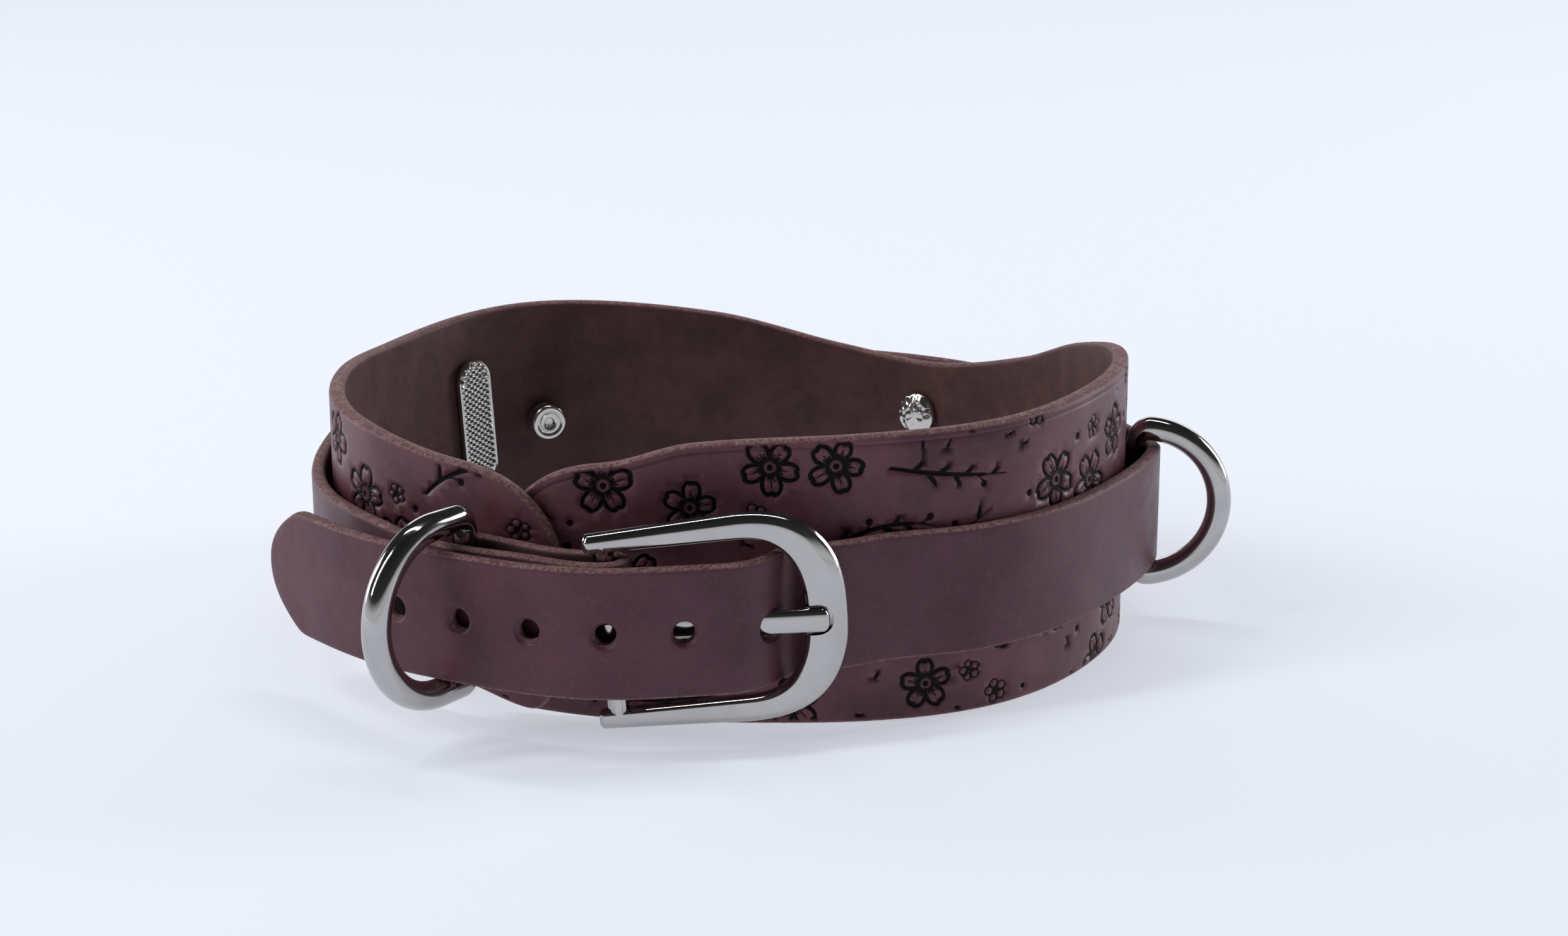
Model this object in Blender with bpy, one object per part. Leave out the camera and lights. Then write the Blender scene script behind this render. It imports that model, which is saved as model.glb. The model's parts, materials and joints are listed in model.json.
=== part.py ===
"""Leather dog collar: a wide band, closed by a narrower buckled strap riveted around it.

Metres, +Z up, the buckle at the front (-Y). The collar stands on the band's lower edge.
The band is one strip of leather whose two rounded ends lap at the front left.
The strap is one strip too: its inner end folds round the buckle's heel bar, it runs clockwise
past the left, back and right of the band, and comes back over the buckle to a loose tip.

Plan places are given as a share of the loop, counted anticlockwise seen from above from
the front middle, and a distance outwards from the loop, which is the band's middle line.
"""
import math

import bmesh
import bpy
import numpy as np
from mathutils import Matrix, Vector

MM = 0.001
FIT = 0.3 * MM                  # air between pieces that touch on the real collar

# Leather
LOOP_WIDTH = 160.5 * MM         # band's middle line, side to side
LOOP_DEPTH = 144.7 * MM         # band's middle line, front to back
BAND_THICK = 3.3 * MM
BAND_HEIGHT = 58.0 * MM         # tallest place of the band
BAND_LAP_AIR = 1.2 * MM         # air between the band's two lapped ends
BAND_TOP_ROUND = 21.0 * MM      # length over which each end's upper corner rounds off
BAND_FOOT_ROUND = 7.0 * MM      # the same at the lower corner
EDGE_ROUND = 0.32               # rounding of a leather edge, as a share of its thickness
CORNER_POWER = 2.3              # squareness of the band's rounded corners, 2 for an ellipse
STRAP_WIDTH = 25.0 * MM
STRAP_THICK = 2.8 * MM
STRAP_MIDDLE = 26.0 * MM        # height of the strap's middle line above the floor
STRAP_TIP = 11.0 * MM           # length over which the loose tip comes to its blunt point
TIP_POWER = 0.45                # bluntness of the tip, 0.5 for a parabola
STRAP_FOLD = 9.0 * MM           # fold's length beyond the keeper ring's bar
FOLD_SWELL = 0.8 * MM           # strap's bulge between the heel bar and the keeper ring
FOLD_AIR = 0.3 * MM             # air between band and folded end, besides FIT
LEFT_AIR = 3.2 * MM             # widest air between band and strap at the left
TAIL_AIR = 13.2 * MM            # widest air between band and loose tail at the tip
HOLE_RADIUS = 2.3 * MM
HOLE_PITCH = 14.3 * MM
HOLE_COUNT = 5
HOLE_FIRST = 18.0 * MM          # from where the prong passes to the first free hole

# Buckle, with its heel bar as the origin of its own lengths
HEEL_RADIUS = 2.0 * MM
HEEL_STAND = 17.5 * MM          # heel bar's middle out from the loop
FRAME_LENGTH = 44.0 * MM        # heel bar to the bow's outer edge
FRAME_HALF = 20.4 * MM          # middle to the outer edge, at the bow
FRAME_END_HALF = 19.0 * MM      # the same at the arms' ends
FRAME_THICK = 4.0 * MM
ARM_WIDTH = 3.7 * MM
BOW_WIDTH = 8.0 * MM
ARM_OVERHANG = 2.6 * MM         # arms' ends past the heel bar
BOW_AIR = 2.6 * MM              # air between the bow's outer part and the strap behind it
BOW_EDGE_AIR = 0.8 * MM         # the same at the bow's inner edge
PRONG_WIDTH = 4.4 * MM
PRONG_THICK = 3.0 * MM
PRONG_WALL = 1.5 * MM           # wall of the prong's eye
PRONG_SLACK = 0.4 * MM          # air round the prong in its hole and slot
NOTCH_LENGTH = 5.0 * MM
PRONG_TIP_AIR = 0.7 * MM        # air between the prong's tip and the notch's end
PRONG_DROP = 1.2 * MM           # prong's tip below the bow's middle
BOW_CORNER_BACK = 3.2 * MM      # how far back the strap already has to pass behind the bow's corners
SLOT_LENGTH = 8.5 * MM          # slot for the prong's eye, back from the heel bar
BOW_FROM = 0.55                 # share of the frame's length where the arms become the bow
BOW_POWER = 2.5                 # squareness of the bow, 2 for an ellipse
BUCKLE_YAW = math.radians(7.0)  # bow turned towards the band
BUCKLE_ROLL = math.radians(4.5) # bow lifted, heel lowered
ROLL_KEPT = 3.75 * MM           # strap's length from the heel's bend that keeps the whole roll
ROLL_FADE = 16.3 * MM           # strap's length over which the roll then fades

# Rings, of round wire, with a straight bar
RING_CORNER = 3.0 * MM          # bend of the wire between bow and bar
KEEPER_BOW = 16.2 * MM          # bow's wire middle line, radius
KEEPER_WIRE = 2.75 * MM
KEEPER_LIFT = 0.85 * MM         # ring's middle above the strap's middle
KEEPER_BAR = 2.35 * MM
KEEPER_AIR = 1.6 * MM           # air between the two layers of strap in the keeper
KEEPER_TURN = math.radians(12.0)
LEAD_BOW = 15.8 * MM
LEAD_WIRE = 2.55 * MM
LEAD_BAR = 2.0 * MM
LEAD_WRAP = math.radians(12.0)  # turn over which the strap follows the ring's bar, each way
LEAD_DEPTH = 1.8 * MM           # bow's centre out from the bar

# Rivets and the knurled plate
POST_RADIUS = 1.6 * MM
CAP_RADIUS = 4.6 * MM
CAP_AIR = 0.2 * MM              # air under the flat inner caps, on curved leather, besides FIT
CAP_HEIGHT = 2.2 * MM
STUD_RADIUS = 4.2 * MM
STUD_HEIGHT = 4.3 * MM
CAP_RIM = 0.35                  # upright rim of a cap, as a share of its height
PLATE_WIDTH = 9.4 * MM
PLATE_LENGTH = 30.0 * MM
PLATE_THICK = 1.7 * MM
PLATE_MIDDLE = 26.0 * MM
PLATE_LEAN = math.radians(4.5)

# Places along the loop, as shares
BAND_START = -0.0755            # inner lapped end, behind the other
BAND_END = 0.955                # outer lapped end
LAP_FROM = 0.74                 # the band starts to swing out to its outer end
LAP_TO = 0.89
HEEL_AT = 0.974
KEEPER_AT = 0.925
LEAD_AT = 0.245
RIVETS = (("rivet_left", 0.605, -2.0 * MM), ("rivet_right", 0.419, 0.0), ("rivet_lead_ring", 0.298, 0.0))
PLATE_AT = 0.6445

LOOP_PLAN = (                   # share of LOOP_WIDTH from the left, of LOOP_DEPTH from the front
    (0.455, 0.006), (0.644, 0.006), (0.808, 0.062), (0.931, 0.202), (1.000, 0.413),
    (0.975, 0.620), (0.859, 0.855), (0.644, 0.983), (0.392, 0.993), (0.158, 0.917),
    (0.026, 0.703), (0.001, 0.468), (0.042, 0.247), (0.127, 0.115), (0.266, 0.027))

BAND_EDGES = (                  # share of the loop, top and bottom as shares of BAND_HEIGHT
    (-0.0755, 0.870, 0.040), (-0.03, 0.885, 0.010), (0.00, 0.950, 0.000), (0.06, 0.980, 0.000),
    (0.12, 0.990, 0.000), (0.25, 1.000, 0.000), (0.31, 0.905, 0.010), (0.36, 0.755, 0.080),
    (0.41, 0.660, 0.160), (0.46, 0.700, 0.110), (0.52, 0.820, 0.030), (0.60, 0.890, 0.000),
    (0.70, 0.870, 0.000), (0.78, 0.930, 0.060), (0.86, 0.930, 0.120), (0.915, 0.880, 0.120),
    (0.94, 0.870, 0.060), (0.955, 0.870, 0.050))

STRAP_STANDS = (                # share of the loop, air to the band as a share of LEFT_AIR
    (0.886, 1.00), (0.850, 0.55), (0.810, 0.30), (0.770, 0.15), (0.720, 0.0), (0.680, 0.0),
    (0.640, 0.0), (0.603, 0.0), (0.560, 0.0), (0.510, 0.0), (0.460, 0.0), (0.419, 0.0),
    (0.380, 0.0), (0.340, 0.0), (0.305, 0.0), (0.285, 0.0))

FRONT_STANDS = ((0.190, 0.12), (0.160, 0.0), (0.130, 0.0), (0.100, 0.0), (0.074, 0.15))

TAIL_STANDS = (                 # share of the loop, air to the band as a share of TAIL_AIR
    (0.9060, 0.92), (0.8645, 0.87), (0.8480, 1.00))

TAIL_OVER_BUCKLE = (            # share of FRAME_LENGTH from the heel bar, of the tail's lift over it
    (0.660, 0.09), (0.570, 0.60), (0.360, 0.87), (0.000, 1.00))

LEATHER = (0.070, 0.032, 0.042)
METAL = (0.42, 0.41, 0.42)


# Plan curves

def smooth(value):
    value = min(max(value, 0.0), 1.0)
    return value * value * (3.0 - 2.0 * value)


def spline_pieces(points, closed=False, start=None, end=None):
    """Cubic spline through plan points, with smooth curvature and chord-length spacing.

    Returns the points, the chord lengths and the second derivatives at the points.
    """
    points = np.array(points, dtype=float)
    if closed:
        points = np.vstack([points, points[:1]])
    count = len(points)
    chords = np.linalg.norm(np.diff(points, axis=0), axis=1)
    slopes = np.diff(points, axis=0) / chords[:, None]
    matrix = np.zeros((count, count))
    right = np.zeros((count, 2))
    for i in range(1, count - 1):
        matrix[i, i - 1: i + 2] = chords[i - 1], 2.0 * (chords[i - 1] + chords[i]), chords[i]
        right[i] = 6.0 * (slopes[i] - slopes[i - 1])
    if closed:
        matrix[0, 0] = 1.0
        matrix[0, -1] = -1.0
        matrix[-1, 0] = matrix[-1, -1] = chords[0] + chords[-1]
        matrix[-1, 1] = chords[0]
        matrix[-1, -2] = chords[-1]
        right[-1] = 6.0 * (slopes[0] - slopes[-1])
    else:
        matrix[0, 0] = 1.0
        matrix[-1, -1] = 1.0
        if start is not None:
            matrix[0, :2] = 2.0 * chords[0], chords[0]
            right[0] = 6.0 * (slopes[0] - start)
        if end is not None:
            matrix[-1, -2:] = chords[-1], 2.0 * chords[-1]
            right[-1] = 6.0 * (end - slopes[-1])
    return points, chords, np.linalg.solve(matrix, right)


def spline_path(points, steps=40, **ends):
    """Dense points along the spline, the last one included."""
    points, chords, bends = spline_pieces(points, **ends)
    path = []
    for i, chord in enumerate(chords):
        for ahead in np.linspace(0.0, chord, steps, endpoint=False):
            behind = chord - ahead
            path.append((bends[i] * behind ** 3 + bends[i + 1] * ahead ** 3) / (6.0 * chord)
                        + (points[i] / chord - bends[i] * chord / 6.0) * behind
                        + (points[i + 1] / chord - bends[i + 1] * chord / 6.0) * ahead)
    path.append(points[-1])
    return np.array(path)


def turned(direction, angle):
    """A plan direction turned anticlockwise."""
    cosine, sine = math.cos(angle), math.sin(angle)
    return np.array([direction[0] * cosine - direction[1] * sine,
                     direction[0] * sine + direction[1] * cosine])


class Route:
    """A plan path measured by its length, with its direction and its right-hand side."""

    def __init__(self, path):
        self.path = path
        self.at = np.concatenate([[0.0], np.cumsum(np.linalg.norm(np.diff(path, axis=0), axis=1))])
        self.length = self.at[-1]

    def point(self, distance):
        return np.array([np.interp(distance, self.at, self.path[:, k]) for k in (0, 1)])

    def along(self, distance, reach=0.2 * MM):
        low = max(distance - reach, 0.0)
        high = min(distance + reach, self.length)
        step = self.point(high) - self.point(low)
        return step / np.linalg.norm(step)

    def nearest(self, point):
        return self.at[np.argmin(np.linalg.norm(self.path - point, axis=1))]


def loop_points():
    return [(across * LOOP_WIDTH, back * LOOP_DEPTH) for across, back in LOOP_PLAN]


LOOP = Route(spline_path(loop_points(), closed=True))


def loop_along(share):
    here = (share % 1.0) * LOOP.length
    reach = 0.4 * MM
    ahead = LOOP.point((here + reach) % LOOP.length)
    behind = LOOP.point((here - reach) % LOOP.length)
    return (ahead - behind) / np.linalg.norm(ahead - behind)


def loop_out(share):
    return turned(loop_along(share), -math.pi / 2)


def spot(share, out):
    return LOOP.point((share % 1.0) * LOOP.length) + loop_out(share) * out


def lap(share):
    """How far the band has swung out to pass over its own inner end."""
    return (BAND_THICK + BAND_LAP_AIR) * smooth((share - LAP_FROM) / (LAP_TO - LAP_FROM))


def strap_out(share, air=0.0):
    """Middle of the strap, out from the loop, with this much more air under it than FIT."""
    return lap(share) + BAND_THICK / 2 + FIT + air + STRAP_THICK / 2


# Places that several pieces share

KEEPER_BAR_AT = spot(KEEPER_AT, strap_out(KEEPER_AT, FOLD_AIR) + STRAP_THICK / 2 + FIT + KEEPER_BAR)
KEEPER_OUT = turned(loop_out(KEEPER_AT), -KEEPER_TURN)
KEEPER_REACH = KEEPER_BAR + FIT + STRAP_THICK + KEEPER_AIR + STRAP_THICK / 2
LEAD_OUT = loop_out(LEAD_AT)
LEAD_BAR_AT = spot(LEAD_AT, BAND_THICK / 2 + FIT + LEAD_BAR)
HEEL_BEND = HEEL_RADIUS + FIT + STRAP_THICK / 2
HEEL_SPOT = spot(HEEL_AT, HEEL_STAND)
BUCKLE_ALONG = turned(loop_along(HEEL_AT), BUCKLE_YAW)
BUCKLE_OUT = turned(BUCKLE_ALONG, -math.pi / 2)
BOW_INNER = FRAME_LENGTH - BOW_WIDTH
PRONG_LENGTH = BOW_INNER + NOTCH_LENGTH - PRONG_TIP_AIR
PRONG_CROSSING = TAIL_OVER_BUCKLE[0][0] * FRAME_LENGTH


def buckle_spot(ahead, out):
    return HEEL_SPOT + BUCKLE_ALONG * ahead + BUCKLE_OUT * out


def strap_route():
    """The strap's middle line in plan, from the folded end to the tip of the tail."""
    fold_end = KEEPER_AT - STRAP_FOLD / LOOP.length
    fold = spline_path([spot(fold_end, strap_out(fold_end, FOLD_AIR)),
                        spot(KEEPER_AT, strap_out(KEEPER_AT, FOLD_AIR)),
                        buckle_spot(0.0, -HEEL_BEND)], end=BUCKLE_ALONG)
    bend = [buckle_spot(HEEL_BEND * math.sin(turn), -HEEL_BEND * math.cos(turn))
            for turn in np.linspace(0.0, math.pi, 25)]
    off_heel = buckle_spot(0.0, HEEL_BEND)
    over_keeper = KEEPER_BAR_AT + KEEPER_OUT * (KEEPER_BAR + FIT + STRAP_THICK / 2)
    outward = turned((over_keeper - off_heel) / np.linalg.norm(over_keeper - off_heel), math.pi / 2)
    body = [off_heel, (off_heel + over_keeper) / 2 + outward * FOLD_SWELL, over_keeper]
    body += [spot(share, strap_out(share, air * LEFT_AIR)) for share, air in STRAP_STANDS]
    over_bar = LEAD_BAR + FIT + STRAP_THICK / 2
    for turn in (LEAD_WRAP, 0.0, -LEAD_WRAP):
        body.append(LEAD_BAR_AT + turned(LEAD_OUT, turn) * over_bar)
    body += [spot(share, strap_out(share, air * LEFT_AIR)) for share, air in FRONT_STANDS]
    body.append(buckle_spot(FRAME_LENGTH - BOW_WIDTH / 2, -FRAME_THICK / 2 - BOW_AIR - STRAP_THICK / 2))
    body.append(buckle_spot(BOW_INNER - BOW_CORNER_BACK, -FRAME_THICK / 2 - BOW_EDGE_AIR - STRAP_THICK / 2))
    tail_lift = HEEL_BEND + STRAP_THICK + 2 * FIT
    body += [buckle_spot(ahead * FRAME_LENGTH, lift * tail_lift) for ahead, lift in TAIL_OVER_BUCKLE]
    body.append(KEEPER_BAR_AT + KEEPER_OUT * KEEPER_REACH)
    body += [spot(share, strap_out(share, air * TAIL_AIR)) for share, air in TAIL_STANDS]
    main = spline_path(body, start=-BUCKLE_ALONG)
    return Route(np.vstack([fold[:-1], bend[:-1], main]))


STRAP = strap_route()


# Solids

def material(name, colour, metallic, roughness):
    made = bpy.data.materials.new(name)
    made.use_nodes = True
    shader = made.node_tree.nodes["Principled BSDF"]
    shader.inputs["Base Color"].default_value = (*colour, 1.0)
    shader.inputs["Metallic"].default_value = metallic
    shader.inputs["Roughness"].default_value = roughness
    return made


def solid(name, bm, look, parent=None):
    """One named object from a closed mesh, its faces turned outwards and shaded smooth."""
    bmesh.ops.recalc_face_normals(bm, faces=bm.faces)
    mesh = bpy.data.meshes.new(name)
    bm.to_mesh(mesh)
    bm.free()
    mesh.shade_smooth()
    mesh.set_sharp_from_angle(angle=math.radians(35.0))
    made = bpy.data.objects.new(name, mesh)
    made.parent = parent
    if look:
        mesh.materials.append(material(name, *look))
    bpy.context.scene.collection.objects.link(made)
    return made


def helper(name, bm, parent=None):
    """A cutter or a piece to be joined on: seen as a wire, and not part of the model."""
    made = solid(name, bm, None, parent)
    made.hide_render = True
    made.display_type = "WIRE"
    return made


def combine(target, other, how):
    cut = target.modifiers.new(other.name, "BOOLEAN")
    cut.operation = how
    cut.object = other
    cut.solver = "EXACT"


def loft(rings):
    """A closed body through rings of equal point counts, capped at both ends."""
    bm = bmesh.new()
    rows = [[bm.verts.new(point) for point in ring] for ring in rings]
    count = len(rows[0])
    for low, high in zip(rows, rows[1:]):
        for k in range(count):
            bm.faces.new((low[k], low[(k + 1) % count], high[(k + 1) % count], high[k]))
    bm.faces.new(rows[0])
    bm.faces.new(rows[-1])
    return bm


def wall_ring(place, side, low, high, thick):
    """Upright section of a leather strip: a rectangle with well rounded edges."""
    rounding = min(EDGE_ROUND * thick, (high - low) / 3)
    ring = []
    for across, up, start in ((1, -1, -90), (1, 1, 0), (-1, 1, 90), (-1, -1, 180)):
        for turn in (0, 45, 90):
            angle = math.radians(start + turn)
            out = across * (thick / 2 - rounding) + rounding * math.cos(angle)
            middle = high - rounding if up > 0 else low + rounding
            plan = place + side * out
            ring.append((plan[0], plan[1], middle + rounding * math.sin(angle)))
    return ring


def prism(outline, low, high):
    """A flat outline of (x, y) points pushed from one z to another."""
    return loft([[(x, y, z) for x, y in outline] for z in (low, high)])


def stadium(length, half_width, steps=8):
    """Round-ended outline along X, its middle at the origin."""
    reach = length / 2 - half_width
    outline = []
    for side, start in ((1, -90), (-1, 90)):
        for k in range(steps + 1):
            angle = math.radians(start + 180.0 * k / steps)
            outline.append((side * reach + half_width * math.cos(angle), half_width * math.sin(angle)))
    return outline


def rod(radius, low, high, sides=16):
    """Upright cylinder on the Z axis."""
    bm = bmesh.new()
    shift = Matrix.Translation((0.0, 0.0, (low + high) / 2))
    bmesh.ops.create_cone(bm, cap_ends=True, segments=sides, radius1=radius, radius2=radius,
                          depth=high - low, matrix=shift)
    return bm


def turned_profile(profile, sides=20):
    """A body turned round Z from (radius, z) points that start and end on the axis."""
    bm = bmesh.new()
    start = bm.verts.new((0.0, 0.0, profile[0][1]))
    end = bm.verts.new((0.0, 0.0, profile[-1][1]))
    rows = []
    for radius, z in profile[1:-1]:
        rows.append([bm.verts.new((radius * math.cos(2 * math.pi * k / sides),
                                   radius * math.sin(2 * math.pi * k / sides), z))
                     for k in range(sides)])
    for k in range(sides):
        ahead = (k + 1) % sides
        bm.faces.new((start, rows[0][ahead], rows[0][k]))
        bm.faces.new((end, rows[-1][k], rows[-1][ahead]))
        for low, high in zip(rows, rows[1:]):
            bm.faces.new((low[k], low[ahead], high[ahead], high[k]))
    return bm


def stand(made, plan, z, out, up_axis="Z"):
    """Places an object with its X axis along a plan direction, or its Z axis with up_axis X."""
    outward = Vector((out[0], out[1], 0.0))
    upward = Vector((0.0, 0.0, 1.0))
    if up_axis == "Z":
        axes = (outward, upward.cross(outward), upward)
    else:
        axes = (upward, outward.cross(upward), outward)
    made.rotation_euler = Matrix(axes).transposed().to_euler()
    made.location = (plan[0], plan[1], z)


# Band

def band_edge_heights(share):
    """Lower and upper edge of the band, with its ends rounded off."""
    shares, tops, bottoms = zip(*BAND_EDGES)
    top = smooth_table(shares, tops, share) * BAND_HEIGHT
    bottom = max(smooth_table(shares, bottoms, share), 0.0) * BAND_HEIGHT
    from_end = min(share - BAND_START, BAND_END - share) * LOOP.length
    middle = (top + bottom) / 2
    return (middle + (bottom - middle) * corner_fill(from_end, BAND_FOOT_ROUND),
            middle + (top - middle) * corner_fill(from_end, BAND_TOP_ROUND))


def corner_fill(from_end, rounding):
    """Share of its full half height that a rounded end has this far from its tip."""
    inside = min(from_end / rounding, 1.0)
    blunt = 0.12
    return max((1.0 - (1.0 - inside) ** CORNER_POWER) ** (1.0 / CORNER_POWER), blunt)


def smooth_table(places, values, place):
    """A table read with a smooth curve through its rows."""
    k = int(np.clip(np.searchsorted(places, place) - 1, 0, len(places) - 2))
    span = places[k + 1] - places[k]
    along = (place - places[k]) / span
    slopes = []
    for row in (k, k + 1):
        before = max(row - 1, 0)
        after = min(row + 1, len(places) - 1)
        slopes.append((values[after] - values[before]) / (places[after] - places[before]) * span)
    square, cube = along ** 2, along ** 3
    return ((2 * cube - 3 * square + 1) * values[k] + (cube - 2 * square + along) * slopes[0]
            + (3 * square - 2 * cube) * values[k + 1] + (cube - square) * slopes[1])


def band_shares(steps=84, end_steps=7):
    """Even steps along the band, closing up towards its rounded ends."""
    rounding = BAND_TOP_ROUND / LOOP.length
    ends = [rounding * (k / end_steps) ** 2 for k in range(end_steps)]
    middle = np.linspace(BAND_START + rounding, BAND_END - rounding, steps)
    return [BAND_START + e for e in ends] + list(middle) + [BAND_END - e for e in reversed(ends)]


def make_band(parent):
    rings = []
    for share in band_shares():
        low, high = band_edge_heights(share)
        out = loop_out(share)
        rings.append(wall_ring(spot(share, lap(share)), out, low, high, BAND_THICK))
    return solid("band", loft(rings), (LEATHER, 0.0, 0.5), parent)


# Strap

def roll_lean(distance, bend_start, bend_end):
    """Share of the buckle's roll that the strap takes on, all of it round the heel bar."""
    away = max(bend_start - distance, distance - bend_end, 0.0)
    return 1.0 - smooth((away - ROLL_KEPT) / ROLL_FADE)


def strap_distances(longest=5.6 * MM, widest=math.radians(13.0)):
    """Steps along the strap: close together where it bends and at its tip."""
    middle = STRAP.nearest(buckle_spot(HEEL_BEND, 0.0))
    arc = math.pi / 2 * HEEL_BEND
    tip = STRAP.length - STRAP_TIP
    steps = [0.0]
    last = STRAP.along(0.0)
    for distance in np.arange(0.4 * MM, tip, 0.4 * MM):
        heading = STRAP.along(distance)
        turn = abs(last[0] * heading[1] - last[1] * heading[0])
        if distance - steps[-1] > longest or turn > math.sin(widest):
            steps.append(distance)
            last = heading
    steps += [STRAP.length - STRAP_TIP * (1.0 - k / 8) ** 2 for k in range(9)]
    return steps, middle - arc, middle + arc


def make_strap(parent):
    distances, bend_start, bend_end = strap_distances()
    heel_drop = math.sin(BUCKLE_ROLL) * FRAME_LENGTH / 2
    rings = []
    for distance in distances:
        to_tip = (STRAP.length - distance) / STRAP_TIP
        half = STRAP_WIDTH / 2 * max(min(to_tip, 1.0), 0.002) ** TIP_POWER
        side = turned(STRAP.along(distance), math.pi / 2)
        place = STRAP.point(distance)
        ring = wall_ring(place, side, STRAP_MIDDLE - half, STRAP_MIDDLE + half, STRAP_THICK)
        lean = roll_lean(distance, bend_start, bend_end) * math.tan(BUCKLE_ROLL)
        leant = []
        for x, y, z in ring:
            shift = -(z - STRAP_MIDDLE + heel_drop) * lean
            leant.append((x + BUCKLE_ALONG[0] * shift, y + BUCKLE_ALONG[1] * shift, z))
        rings.append(leant)
    strap = solid("strap", loft(rings), (LEATHER, 0.0, 0.45), parent)
    for k, distance in enumerate(hole_distances()):
        cutter = helper(f"hole_{k}_cutter", rod(HOLE_RADIUS, -STRAP_THICK / 2 - FIT, STRAP_THICK), parent)
        side = turned(STRAP.along(distance), math.pi / 2)
        stand(cutter, STRAP.point(distance), STRAP_MIDDLE, side, up_axis="X")
        combine(strap, cutter, "DIFFERENCE")
    return strap


def hole_distances():
    """Free holes in the tail, counted from where the prong passes through it."""
    crossing = STRAP.nearest(buckle_spot(PRONG_CROSSING, 0.0))
    return [crossing + HOLE_FIRST + k * HOLE_PITCH for k in range(HOLE_COUNT)]


# Buckle

def buckle_axes():
    """The buckle's own axes: X from heel to bow, Y outwards, Z down the heel bar, with its roll."""
    ahead = Vector((*BUCKLE_ALONG, 0.0))
    out = Vector((*BUCKLE_OUT, 0.0))
    axes = Matrix((ahead, out, ahead.cross(out))).transposed().to_4x4()
    middle = Matrix.Translation((FRAME_LENGTH / 2, 0.0, 0.0))
    roll = middle @ Matrix.Rotation(BUCKLE_ROLL, 4, "Y") @ middle.inverted()
    return Matrix.Translation((*HEEL_SPOT, STRAP_MIDDLE)) @ axes @ roll


def frame_edges(steps_arm=5, steps_bow=22):
    """Pairs of inner and outer (ahead, up) points from the upper arm's end to the lower's."""
    inner_half = FRAME_END_HALF - ARM_WIDTH
    bow_from = BOW_FROM * FRAME_LENGTH
    power = 2.0 / BOW_POWER
    pairs = []
    for k in range(steps_arm):
        share = k / steps_arm
        ahead = -ARM_OVERHANG + (bow_from + ARM_OVERHANG) * share
        outer = FRAME_END_HALF + (FRAME_HALF - FRAME_END_HALF) * share
        pairs.append(((ahead, inner_half), (ahead, outer)))
    for k in range(steps_bow + 1):
        angle = math.pi / 2 * (1.0 - 2.0 * k / steps_bow)
        cosine = max(math.cos(angle), 0.0) ** power
        sine = math.copysign(abs(math.sin(angle)) ** power, math.sin(angle))
        pairs.append(((bow_from + (BOW_INNER - bow_from) * cosine, inner_half * sine),
                      (bow_from + (FRAME_LENGTH - bow_from) * cosine, FRAME_HALF * sine)))
    pairs += [((a[0], -a[1]), (b[0], -b[1])) for a, b in reversed(pairs[:steps_arm])]
    return pairs


FRAME_SECTION = (               # share of the width from the inner edge, of half the thickness
    (0.0, -0.55), (0.0, 0.55), (0.12, 1.0), (0.66, 1.0), (0.90, 0.62),
    (1.0, 0.0), (0.92, -0.62), (0.72, -1.0), (0.12, -1.0))


def make_frame(parent):
    """Horseshoe frame in the buckle's axes, with its heel bar and the notch for the prong."""
    rings = []
    for inner, outer in frame_edges():
        ring = []
        for across, out in FRAME_SECTION:
            ahead = inner[0] + (outer[0] - inner[0]) * across
            up = inner[1] + (outer[1] - inner[1]) * across
            ring.append((ahead, out * FRAME_THICK / 2, up))
        rings.append(ring)
    frame = solid("buckle_frame", loft(rings), (METAL, 1.0, 0.12), parent)
    bar_half = FRAME_END_HALF - ARM_WIDTH / 2
    combine(frame, helper("heel_bar_shape", rod(HEEL_RADIUS, -bar_half, bar_half), parent), "UNION")
    half = PRONG_WIDTH / 2 + PRONG_SLACK
    notch = helper("notch_cutter", prism(stadium(2 * NOTCH_LENGTH, half), 0.0, FRAME_THICK), parent)
    notch.rotation_euler = (-math.pi / 2, 0.0, 0.0)
    notch.location = (BOW_INNER, 0.0, PRONG_DROP)
    combine(frame, notch, "DIFFERENCE")
    return frame


def make_prong(parent):
    """Prong in the frame's axes: an eye round the heel bar and a shank out to the notch."""
    eye_radius = HEEL_RADIUS + FIT + PRONG_WALL
    half = PRONG_WIDTH / 2
    eye = solid("buckle_prong", rod(eye_radius, -half, half, sides=24), (METAL, 1.0, 0.12), parent)
    bore = helper("prong_eye_cutter", rod(HEEL_RADIUS + FIT, -PRONG_WIDTH, PRONG_WIDTH), parent)
    rings = []
    start = HEEL_RADIUS + FIT + 0.35 * PRONG_WALL
    lift = PRONG_THICK / 2 + FIT
    for share, size in ((0.0, 1.0), (0.33, 1.0), (0.66, 1.0), (0.93, 1.0), (0.975, 0.86), (1.0, 0.5)):
        ahead = start + (PRONG_LENGTH - start) * share
        middle = lift * smooth(share)
        rings.append([(ahead, middle + y * PRONG_THICK / 2 * size, z * half * size + PRONG_DROP * share)
                      for y, z in ((-1, -0.55), (-1, 0.55), (-0.5, 1), (0.5, 1),
                                   (1, 0.55), (1, -0.55), (0.5, -1), (-0.5, -1))])
    combine(eye, helper("prong_shank_shape", loft(rings), parent), "UNION")
    combine(eye, bore, "DIFFERENCE")
    return eye


def box(low, high):
    """Upright box between two corners."""
    outline = ((low[0], low[1]), (high[0], low[1]), (high[0], high[1]), (low[0], high[1]))
    return prism(outline, low[2], high[2])


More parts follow.
